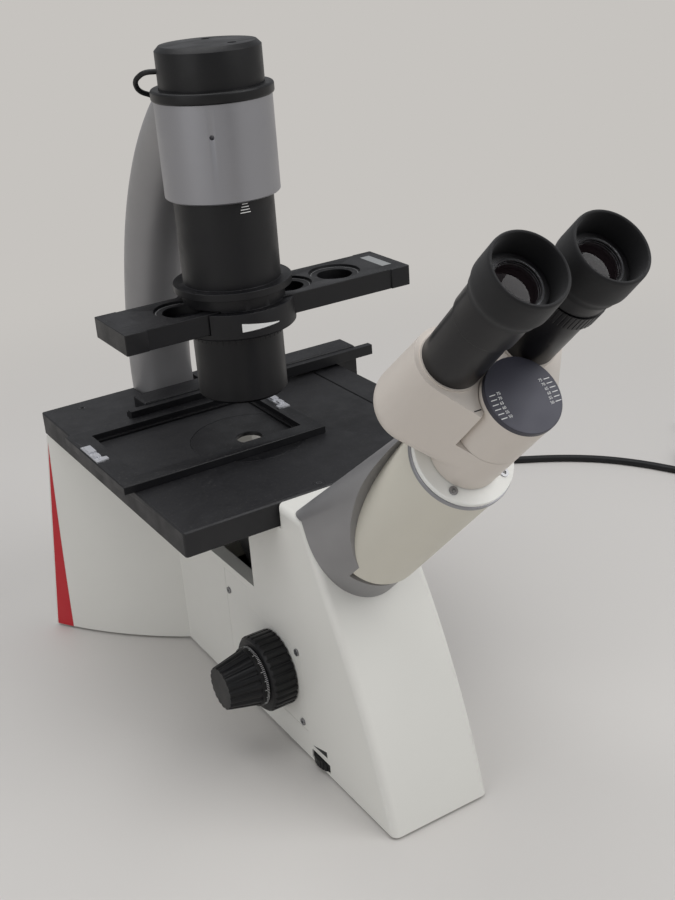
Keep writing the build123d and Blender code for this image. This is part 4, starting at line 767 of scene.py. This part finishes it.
@dataclass
class Castings:
    """The painted castings of the stand, their covers and the marks on them."""

    maker: Maker
    half_width: float = 38.0
    flank_front: float = 73.0
    low_corner: tuple[float, float] = (121.0, 166.0)
    high_corner: tuple[float, float] = (107.0, 146.0)
    low: float = 2.0
    high: float = 181.1
    shares: tuple[float, float] = (0.53, 0.435)
    band_foot: float = 0.13
    band_inset: float = 0.012
    band_out: float = 0.16
    band_in: float = 0.25
    band_reach: float = 0.97
    wedge: tuple = ((-128.5, 15.4), (-146.8, 20.8), (-147.2, 16.2))

    def build(self) -> None:
        """Dresses the castings and prints the red band and the wheel's wedge."""
        make = self.maker
        make.dress(BODY_PAINT, "front_housing", "rear_housing")
        make.rounded(BODY_PAINT, Edge.FINE, "side_covers")
        make.dress(STEEL, "base_plate")
        make.dress(SCREW_STEEL, "machine_screws")
        make.dress(FOOT_RUBBER, "rubber_feet")
        make.dress(MIRROR, "folding_mirror")
        make.dress(TRIM_BLACK, "focus_bracket")
        self._band()
        outline = np.array([(-y, z) for y, z in self.wedge])
        face = sideways_at(Side.LEFT, self.half_width, 0, 0)
        make.plates("wheel_wedge", [outline], face, BLACK_INK, "stand")

    def _flank(self, corner: tuple[float, float], t: np.ndarray) -> np.ndarray:
        """The plan of one flank: the circle through its start, bow and corner, at shares t of its length.

        The centre c solves |c - p| = const for the three points, and t runs evenly over the angle.

        Args:
            corner: half width and depth of the flank's rear corner.
            t: shares of the flank's length.

        Returns:
            Rows of half width and depth.
        """
        start = np.array((self.half_width, self.flank_front))
        end = np.array(corner)
        bow = start + (end - start) * self.shares
        rows = np.array((bow - start, end - start)) * 2
        right = np.array(((bow @ bow) - (start @ start), (end @ end) - (start @ start)))
        centre = np.linalg.solve(rows, right)
        first = math.atan2(*(start - centre)[::-1])
        last = math.atan2(*(end - centre)[::-1])
        turn = (last - first + np.pi) % (2 * np.pi) - np.pi
        angle = first + turn * t
        return centre + np.linalg.norm(start - centre) * np.column_stack((np.cos(angle), np.sin(angle)))

    def _band(self) -> None:
        """Prints the red band that widens downwards along each flank's rear edge.

        A point is (1 - h) L(t) + h U(t), with L and U the flank's lower and upper plan, t from
        1 - w (1 - h) to 1 and w the band's width at the foot.
        """
        rows, columns = 25, 9
        height = np.linspace(0, self.band_reach, rows)
        across = np.linspace(0, 1, columns)
        h, c = np.meshgrid(height, across, indexing="ij")
        t = 1 - self.band_inset - self.band_foot * (1 - h / self.band_reach) * c
        low = self._flank(self.low_corner, t.ravel())
        high = self._flank(self.high_corner, t.ravel())
        plan = low * (1 - h.ravel()[:, None]) + high * h.ravel()[:, None]
        z = self.low + (self.high - self.low) * h.ravel()
        for side in Side:
            surface = np.column_stack((side.value * plan[:, 0], plan[:, 1], z)).reshape(rows, columns, 3)
            self._sheet(f"red_band_{side.word}", surface, side)

    def _sheet(self, name: str, surface: np.ndarray, side: Side) -> None:
        """Makes a thin closed plate over a grid: the grid moved out and in along its normals."""
        down = np.gradient(surface, axis=0)
        along = np.gradient(surface, axis=1)
        normal = np.cross(down, along)
        normal /= np.linalg.norm(normal, axis=2, keepdims=True) + 1e-9
        outward = np.where(normal[..., :1] * side.value < 0, -1.0, 1.0)
        normal *= outward
        rows, columns = surface.shape[:2]
        points = np.vstack((surface + self.band_out * normal, surface - self.band_in * normal)).reshape(-1, 3)
        index = np.arange(rows * columns).reshape(rows, columns)
        corners = (index[:-1, :-1], index[:-1, 1:], index[1:, 1:], index[1:, :-1])
        quads = np.stack(corners, axis=-1).reshape(-1, 4)
        ring = np.concatenate((index[0, :], index[1:, -1], index[-1, -2::-1], index[-2:0:-1, 0]))
        after = np.roll(ring, -1)
        under = rows * columns
        rim = np.stack((ring, after, after + under, ring + under), axis=-1)
        faces = quads.tolist() + (quads[:, ::-1] + under).tolist() + rim.tolist()
        self.maker.mesh(name, points, faces, RED_INK, "stand")


@dataclass
class Stage:
    """The fixed stage, its insert, the mechanical stage and its drive."""

    maker: Maker
    top: float = 198.8
    frame_top: float = 204.8
    screws: tuple = ((-76.0, 140.0), (76.0, 140.0), (0.0, -99.5))
    screw_face: tuple = ((2.0, -0.04), (3.75, -0.04), (3.75, 0.04), (2.0, 0.04))
    clips: tuple = ((Side.LEFT, -108.55), (Side.RIGHT, 42.95))
    clip_y: float = 34.0
    clip_rest: float = 0.05
    leaf_size: tuple[float, float] = (6.4, 32.0)
    leaf_thick: float = 0.9
    tip: tuple = ((0, -16.0), (6.2, -15.4), (6.2, -10.6), (0, -9.4))
    tip_rise: float = 0.35
    blocks: tuple = ((0.3, 6.0, 5.2, 12.0), (0.3, -7.0, 4.2, 5.0))
    block_thick: float = 1.7

    def build(self) -> None:
        """Rounds and dresses the stage's pieces and adds the spring clips and the screws' faces."""
        make = self.maker
        make.rounded(STAGE_BLACK, Edge.MACHINED, "stage_plate", "y_guide")
        make.rounded(TRIM_BLACK, Edge.FINE, "stage_insert", "specimen_frame", "x_rail")
        make.rounded(TRIM_BLACK, Edge.FINE, "x_guide_bar", "y_carriage")
        make.dress(BLACK_PLASTIC, "x_drive_knob", "y_drive_knob")
        for side, x in self.clips:
            self._clip(side, x)
        for number, (x, y) in enumerate(self.screws):
            place = upright_at(x, y, self.top)
            make.turned(f"stage_screw_face_{number}", np.array(self.screw_face), place, BLACK_INK, "stand")

    def _clip(self, side: Side, x: float) -> None:
        """Makes one spring clip: a folded block, its leaf and the tip over the opening."""
        way, body, word, make = -side.value, f"clip_{side.word}", side.word, self.maker
        rest = upright_at(x, self.clip_y, self.frame_top + self.clip_rest)
        leaf, thick = box_outline(0, 0, *self.leaf_size), self.leaf_thick
        make.plates(f"clip_leaf_{word}", [leaf], rest, CLIP_STEEL, body, thick)
        tip = np.array(self.tip) * (way, 1)
        make.plates(f"clip_tip_{word}", [tip], rest.moved(z=self.tip_rise), CLIP_STEEL, body, thick)
        block = [box_outline(way * right, *rest_of) for right, *rest_of in self.blocks]
        raised = make.plates(
            f"clip_block_{word}", block, rest.moved(z=thick), CLIP_STEEL, body, self.block_thick
        )
        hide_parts(f"frame_clip_{word}")


@dataclass
class Condenser:
    """The condenser with its slider, and the marks on it."""

    maker: Maker
    ring_radius: float = 42.5
    wedge_ends: tuple[float, float] = (-15.7, 12.2)
    wedge_heights: tuple = (294.0, 300.0, 295.6, 296.2)
    tube_radius: float = 34.25
    scale_angle: float = -93.0
    scale_top: float = 382.0
    scale_step: float = 1.9
    scale_line: float = 0.55
    scale_lines: int = 6
    slider_top: float = 307.4
    slider_pitch: float = 41.5
    pocket_depth: float = 2.0
    pockets: tuple[int, ...] = (-1, 1, 2)
    circle: tuple = ((17.2, 0.02), (17.5, 0.02), (17.5, 0.12), (17.2, 0.12))
    label: tuple = (120.0, 1.0, 8.0, 30.0)
    plate: tuple = (-83.5, 2.0, 13.0, 24.0)
    ink: float = 0.03

    def build(self) -> None:
        """Dresses the condenser and prints its marks."""
        make = self.maker
        make.rounded(TRIM_BLACK, Edge.MACHINED, "condenser_head", "phase_slider")
        make.dress(TURNED_BLACK, "condenser_barrel", "aperture_ring")
        make.dress(LENS_GLASS, "condenser_lens")
        make.dress(DARK_GLASS, "phase_rings")
        self._wedge()
        self._height_scale()
        self._slider_marks()

    def _wedge(self) -> None:
        """Prints the long white wedge on the front of the head's ring."""
        ends = np.degrees(np.arcsin(np.array(self.wedge_ends) / self.ring_radius)) - 90
        marks = np.array(((*ends, *self.wedge_heights),))
        self.maker.wraps("ring_wedge", marks, self.ring_radius, upright_at(), WHITE_INK, "condenser")

    def _height_scale(self) -> None:
        """Prints a stack of short lines on the tube, wider towards the foot."""
        rows = np.arange(self.scale_lines)
        half = np.degrees((1.0 + self.scale_line * rows) / self.tube_radius)
        low = self.scale_top - self.scale_step * rows
        high = low + self.scale_line
        marks = np.column_stack((self.scale_angle - half, self.scale_angle + half, low, high, low, high))
        place = upright_at()
        self.maker.wraps("height_scale", marks, self.tube_radius, place, WHITE_INK, "condenser", self.ink)

    def _slider_marks(self) -> None:
        """Adds the slider's bare label, its recessed plate and a thin circle in each open pocket."""
        top = upright_at(z=self.slider_top)
        make = self.maker
        make.plates("slider_label", [box_outline(*self.label)], top, LABEL, "slider", self.ink)
        make.plates("slider_plate", [box_outline(*self.plate)], top, STAGE_BLACK, "slider", self.ink)
        for number, place in enumerate(self.pockets):
            at = upright_at(place * self.slider_pitch, 0, self.slider_top - self.pocket_depth)
            make.turned(f"slider_circle_{number}", np.array(self.circle), at, GREY_INK, "slider")


@dataclass
class Lamp:
    """The lamp housing, its cap and lead, and the arm that carries them."""

    maker: Maker

    def build(self) -> None:
        """Dresses the lamp's pieces and the arm."""
        make = self.maker
        make.dress(GREY_PAINT, "illumination_arm")
        make.rounded(SILVER_PAINT, Edge.FINE, "lamp_housing")
        make.rounded(BLACK_PLASTIC, Edge.MACHINED, "lamp_cap")
        make.dress(BOARD, "led_module")
        make.dress(SHEATH, "lamp_lead")


@dataclass
class ViewingHead:
    """The viewing tube, its collar, and the binocular head with its eyepieces."""

    maker: Maker
    offset_x: float = 24.35
    offset_across: float = 30.4
    ring: tuple = ((12.0, -3.0), (30.6, -3.0), (30.9, -2.7), (30.9, -0.3), (30.6, 0.0), (12.0, 0.0))
    disc: tuple = (
        (10.0, 0.0), (30.0, 0.0), (30.0, 2.9), (29.6, 3.3), (12.0, 3.3), (12.0, 70.8), (10.0, 70.8),
    )
    cup_base: float = 127.65
    cup: tuple = (
        (16.06, 0.1), (18.6, 0.1), (19.2, 0.7), (19.3, 2.2), (19.7, 4.0), (20.35, 5.6), (20.8, 7.2),
        (20.85, 9.0), (20.75, 14.0), (20.6, 20.0), (20.5, 24.0), (20.3, 25.1), (19.8, 25.7),
        (19.2, 25.75), (18.7, 25.4), (18.45, 24.6), (18.4, 22.0), (18.3, 16.0), (18.0, 12.0),
        (17.6, 10.2), (16.6, 9.6), (16.06, 9.5),
    )
    lens_base: float = 134.0
    lens_radius: float = 12.15
    lens_rows: int = 14
    lens_back: float = 0.2
    lens_rim: float = 4.2
    lens_sag: float = 1.6
    lens_ring: tuple = ((12.2, 4.3), (13.6, 4.3), (13.6, 6.2), (13.0, 6.4), (12.2, 5.0))
    dial_radius: float = 21.6
    dial_top: float = 74.2
    tick_size: tuple[float, float] = (3.6, 0.45)
    tick_count: int = 6
    tick_first: float = -8.5
    tick_step: float = 2.6
    tick_inset: float = 3.2
    tick_middle: float = -2.0
    tick_curve: float = 0.175
    ink: float = 0.08
    number_first: int = 50
    number_step: int = 5
    number_inset: float = 3.9
    number_size: float = 2.3
    index_place: tuple[float, float] = (24.4, 1.5)
    index_size: tuple[float, float] = (4.4, 0.6)
    index_top: float = 67.5

    def build(self) -> None:
        """Dresses the head and makes the dial's scale, the eyecups and the eye lenses."""
        make = self.maker
        make.dress(GREY_PAINT, "tube_collar")
        make.dress(TUBE_PAINT, "viewing_tube")
        make.dress(LENS_GLASS, "tube_lens")
        self._flange()
        for side in Side:
            make.rounded(HEAD_PAINT, Edge.MACHINED, f"prism_housing_{side.word}")
            make.dress(EYEPIECE_BLACK, f"eyepiece_sleeve_{side.word}")
            make.rounded(EYEPIECE_BLACK, Edge.FINE, f"eyepiece_{side.word}")
            self._eyecup(side)
            self._eye_lens(side)
        make.dress(EYEPIECE_BLACK, "diopter_ring")
        make.rounded(DIAL_BLACK, Edge.FINE, "pupil_dial")
        self._dial_scale()

    def _eyepiece_axes(self, side: Side, along: float) -> Axes:
        """Axes at a distance up one eyepiece."""
        return viewing_at(along, side.value * self.offset_x, self.offset_across)

    def _flange(self) -> None:
        """Makes the flange in two: the bright ring below and the painted disc above."""
        make, place = self.maker, viewing_at(0)
        make.turned("silver_ring", np.array(self.ring), place, SILVER_PAINT, "stand", ("head_flange",))
        make.turned("head_disc", np.array(self.disc), place, FLANGE_PAINT, "stand")

    def _eyecup(self, side: Side) -> None:
        """Turns one eyecup: a foot, a swelling body and a thick rounded lip."""
        axes = self._eyepiece_axes(side, self.cup_base)
        name = f"eyecup_{side.word}"
        self.maker.turned(f"{name}_soft", np.array(self.cup), axes, RUBBER, f"{side.word}_head", (name,))

    def _eye_lens(self, side: Side) -> None:
        """Turns the eye lens, h = rim + sag (1 - (r / R)^2), with a bright ring round it."""
        r = np.linspace(self.lens_radius, 0, self.lens_rows)
        dome = np.column_stack((r, self.lens_rim + self.lens_sag * (1 - (r / self.lens_radius) ** 2)))
        back = np.array(((0.0, self.lens_back), (self.lens_radius, self.lens_back)))
        axes = self._eyepiece_axes(side, self.lens_base)
        body, name = f"{side.word}_head", f"eye_lens_{side.word}"
        # The glass is tinted near black: painted shade of the dark eyepiece inside, seen through the lens.
        self.maker.turned(f"{name}_glass", np.vstack((back, dome)), axes, EYE_GLASS_PAINTED_SHADE, body, (name,))
        self.maker.turned(f"lens_ring_{side.word}", np.array(self.lens_ring), axes, STEEL, body)

    def _dial_scale(self) -> None:
        """Prints the spacing scale on the dial, a row of ticks with plain numbers on each side."""
        make, face = self.maker, viewing_at(self.dial_top)
        ticks, numbers = [], []
        for side in Side:
            for step in range(self.tick_count):
                y = self.tick_first + self.tick_step * step
                bow = self.tick_curve * abs(y - self.tick_middle)
                x = side.value * (self.dial_radius - self.tick_inset - bow)
                ticks.append(box_outline(x, y, *self.tick_size))
                number = str(self.number_first + self.number_step * step)
                numbers.append((number, x - side.value * self.number_inset, y))
        make.plates("dial_ticks", ticks, face, WHITE_INK, "stand", self.ink)
        make.digits("dial_numbers", numbers, face.moved(z=self.ink / 2), WHITE_INK, "stand", self.number_size)
        for side in Side:
            x, y = self.index_place
            mark = box_outline(side.value * x, y, *self.index_size)
            at = viewing_at(self.index_top)
            make.plates(f"spacing_index_{side.word}", [mark], at, BLACK_INK, f"{side.word}_head")


@dataclass
class FocusDrive:
    """The coarse and fine focus knobs and their scale."""

    maker: Maker
    y: float = -87.0
    z: float = 60.5
    scale_radius: float = 21.5
    scale_low: float = 57.7
    scale_count: int = 100
    line_width: float = 0.9
    line_heights: tuple[float, float, float] = (3.4, 2.6, 1.8)
    ink: float = 0.08

    def build(self) -> None:
        """Dresses the knobs and prints the fine scale on each side."""
        make = self.maker
        make.rounded(BLACK_PLASTIC, Edge.MACHINED, "coarse_knobs", "fine_knobs")
        make.dress(STEEL, "focus_tube", "focus_shaft")
        make.rounded(BLACK_PLASTIC, Edge.FINE, "brightness_wheel", "power_inlet", "power_switch")
        make.dress(TRIM_BLACK, "nosepiece_carrier")
        make.rounded(TRIM_BLACK, Edge.FINE, "nosepiece_turret")
        make.dress(BRASS, "objectives")
        for side in Side:
            self._scale(side)

    def _scale(self, side: Side) -> None:
        """Prints fine lines round the scale ring, every fifth and every tenth one longer."""
        steps = np.arange(self.scale_count)
        angles = 360.0 * steps / self.scale_count
        longest, longer, plain = self.line_heights
        tall = np.where(steps % 10 == 0, longest, np.where(steps % 5 == 0, longer, plain))
        low = np.zeros(self.scale_count)
        marks = np.column_stack((angles, angles + self.line_width, low, tall, low, tall))
        axes = sideways_at(side, self.scale_low, self.y, self.z)
        name = f"fine_scale_{side.word}"
        self.maker.wraps(name, marks, self.scale_radius, axes, WHITE_INK, "fine_drive", self.ink)


@dataclass
class MainsLead:
    """The mains lead: its free stretch, the put-away coil, its connector and plug."""

    maker: Maker
    diameter: float = 7.0
    length: float = 1800.0
    start: tuple[float, float, float] = (-12.0, 250.0, 44.0)
    route: tuple = (
        (-12.0, 272.0, 44.0), (-8.0, 295.0, 36.0), (4.0, 317.0, 19.0),
        (26.0, 336.0, 5.0), (56.0, 346.0, 3.5), (92.0, 343.0, 3.5), (136.0, 326.0, 3.5),
        (184.0, 298.0, 3.5), (233.0, 269.0, 3.5), (284.0, 234.0, 3.5), (334.0, 203.0, 3.5),
        (384.0, 163.5, 3.5), (418.0, 141.5, 3.5), (452.0, 111.0, 3.5), (477.0, 75.0, 3.5),
        (494.0, 38.0, 3.5),
    )
    end: tuple[float, float, float] = (509.0, 3.0, 3.5)
    coil_radius: float = 38.5
    turns: float = 4.436
    per_turn: int = 24
    step_in: tuple[float, float] = (0.80, 0.95)
    step_out: tuple[float, float] = (3.20, 3.35)
    climbs: tuple = ((1.55, 1.72), (2.35, 2.52))
    drop: tuple[float, float] = (3.44, 3.60)

    def _coil(self) -> np.ndarray:
        """The coil's centreline: r(t) and z(t) step by one diameter between turns.

        At share t of a turn the point is c + r(t) (cos a, sin a), with a = a0 + 2 pi t. Each step
        is a smooth ramp s(x) = 3 x^2 - 2 x^3, timed so that turns pass a diameter apart.

        Returns:
            Rows of (x, y, z).
        """
        last = np.array(self.route[-1][:2])
        end = np.array(self.end[:2])
        heading = (end - last) / np.linalg.norm(end - last)
        outer = self.coil_radius + self.diameter / 2
        side = np.array((-heading[1], heading[0]))
        centre = end + side * outer
        first = math.atan2(-side[1], -side[0])
        t = np.linspace(0, self.turns, int(self.turns * self.per_turn) + 1)[1:]

        def ramp(times: tuple[float, float]) -> np.ndarray:
            """Rises smoothly from 0 to 1 between two times."""
            low, high = times
            x = np.clip((t - low) / (high - low), 0, 1)
            return 3 * x**2 - 2 * x**3

        step = self.diameter
        radius = outer - step * ramp(self.step_in) + step * ramp(self.step_out)
        z = step / 2 + step * (sum(ramp(climb) for climb in self.climbs) - ramp(self.drop))
        angle = first + 2 * np.pi * t
        return np.column_stack((centre[0] + radius * np.cos(angle), centre[1] + radius * np.sin(angle), z))

    def build(self) -> None:
        """Makes the lead as one curve along its route and coil."""
        make = self.maker
        make.dress(SHEATH, "mains_plug", "lead_connector")
        points = np.vstack((self.start, self.route, self.end, self._coil()))
        world = (points + OPTICAL_AXIS) * METRE
        curve = bpy.data.curves.new("mains_lead_run", "CURVE")
        curve.dimensions = "3D"
        curve.bevel_depth = self.diameter / 2 * METRE
        curve.bevel_resolution = 4
        curve.resolution_u = 6
        curve.use_fill_caps = True
        spline = curve.splines.new("NURBS")
        spline.points.add(len(world) - 1)
        spline.points.foreach_set("co", np.column_stack((world, np.ones(len(world)))).ravel())
        spline.order_u = 3
        spline.use_endpoint_u = True
        lead = stand("mains_lead_run", curve)
        curve.materials.append(SHEATH.make(make.kit))
        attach(lead, "stand")
        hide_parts("mains_lead", "mains_lead_coil")
        LOG.info("made the mains lead, %d points", len(world))


@dataclass
class Studio:
    """The table, the lights and the camera."""

    camera_place: tuple = (-368.362, -755.404, 564.366)
    right: tuple = (0.84472615, -0.53092865, -0.0674722)
    down: tuple = (-0.27300444, -0.3190219, -0.90757567)
    forward: tuple = (0.46033281, 0.78507312, -0.41443202)
    focal: float = 49.53
    film: float = 36.0
    clips: tuple[float, float] = (0.05, 60)
    lights: tuple = (
        ("key", (0.9, -1.1, 1.5), (0, 0, 0.15), 1.3, 15.0),
        ("top", (-0.2, 0.3, 1.9), (0, 0, 0.1), 1.6, 16.0),
        ("fill", (-1.6, -0.4, 0.9), (0, 0, 0.2), 1.4, 5.0),
    )
    room_colour: tuple = (0.86, 0.87, 0.9, 1)
    room_light: float = 0.42
    table_half: float = 30.0
    table_gloss: float = 0.55
    table_colour: tuple = (0.62, 0.60, 0.575, 1.0)
    even_colour: tuple = srgb(198, 195, 191)
    even_from: float = 0.45
    even_to: float = 1.2

    def build(self) -> None:
        """Sets up the camera, lights, world and table."""
        self._camera()
        self._lights()
        self._table()
        bpy.context.scene.view_settings.view_transform = "Standard"
        LOG.info("set the studio")

    def _camera(self) -> None:
        """Places the camera at the solved viewpoint, long side of the film 36 mm."""
        data = bpy.data.cameras.new("camera")
        data.lens = self.focal
        data.sensor_width = self.film
        data.clip_start, data.clip_end = self.clips
        camera = stand("camera", data)
        place = (np.array(self.camera_place) + OPTICAL_AXIS) * METRE
        turn = Matrix((self.right, [-v for v in self.down], [-v for v in self.forward])).transposed()
        camera.matrix_world = Matrix.Translation(Vector(place)) @ turn.to_4x4()
        bpy.context.scene.camera = camera

    @staticmethod
    def _light(name: str, place: tuple, target: tuple, size: float, power: float) -> None:
        """Adds one square soft light that points at a target."""
        data = bpy.data.lights.new(name, "AREA")
        data.size = size
        data.energy = power
        light = stand(name, data)
        light.location = place
        light.rotation_mode = "QUATERNION"
        light.rotation_quaternion = (Vector(target) - Vector(place)).to_track_quat("-Z", "Y")

    def _lights(self) -> None:
        """Lights the object softly from above and from the user's right."""
        for light in self.lights:
            self._light(*light)
        world = bpy.data.worlds.new("room")
        bpy.context.scene.world = world
        world.use_nodes = True
        background = world.node_tree.nodes["Background"]
        Graph.fill(background, {"Color": self.room_colour, "Strength": self.room_light})

    def _table(self) -> None:
        """Lays the plain table top, which turns to an even pale tone away from the object.

        Seen straight, or in gloss or glass, the tone takes over smoothly between two distances from
        the object: share = s(distance) max(camera, glossy, transmission).
        """
        half = self.table_half
        corners = [(-half, -half, 0), (half, -half, 0), (half, half, 0), (-half, half, 0)]
        data = bpy.data.meshes.new("table_top")
        data.from_pydata(corners, [], [(0, 1, 2, 3)])
        table = stand("table_top", data)
        material = bpy.data.materials.new("table_top")
        material.use_nodes = True
        graph = Graph(material.node_tree)
        shader, end = (graph.tree.nodes[name] for name in ("Principled BSDF", "Material Output"))
        graph.fill(shader, {"Base Color": self.table_colour, "Roughness": self.table_gloss})
        place = graph.add("NewGeometry")
        distance = graph.add("VectorMath", operation="LENGTH")
        spread = {"From Min": self.even_from, "From Max": self.even_to}
        share = graph.add("MapRange", spread, interpolation_type="SMOOTHSTEP")
        path = graph.add("LightPath")
        seen = graph.add("Math", operation="MAXIMUM")
        either = graph.add("Math", operation="MAXIMUM")
        times = graph.add("Math", operation="MULTIPLY")
        even = graph.add("Emission", {"Color": self.even_colour})
        mix = graph.add("MixShader")
        graph.join(
            (place, "Position", distance, 0), (distance, "Value", share, "Value"),
            (path, "Is Camera Ray", seen, 0), (path, "Is Glossy Ray", seen, 1), (seen, 0, either, 0),
            (path, "Is Transmission Ray", either, 1), (either, 0, times, 0), (share, 0, times, 1),
            (times, 0, mix, 0), (shader, 0, mix, 1), (even, 0, mix, 2), (mix, 0, end, "Surface"),
        )
        data.materials.append(material)


def main() -> None:
    """Builds the sub-assemblies in order."""
    logging.basicConfig(level=logging.INFO, format="%(name)s: %(message)s")
    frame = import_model()
    maker = Maker(frame, EffectKit())
    for part in (MainsLead, Castings, Stage, Condenser, Lamp, ViewingHead, FocusDrive):
        part(maker).build()
    Studio().build()


if __name__ == "__main__":
    main()
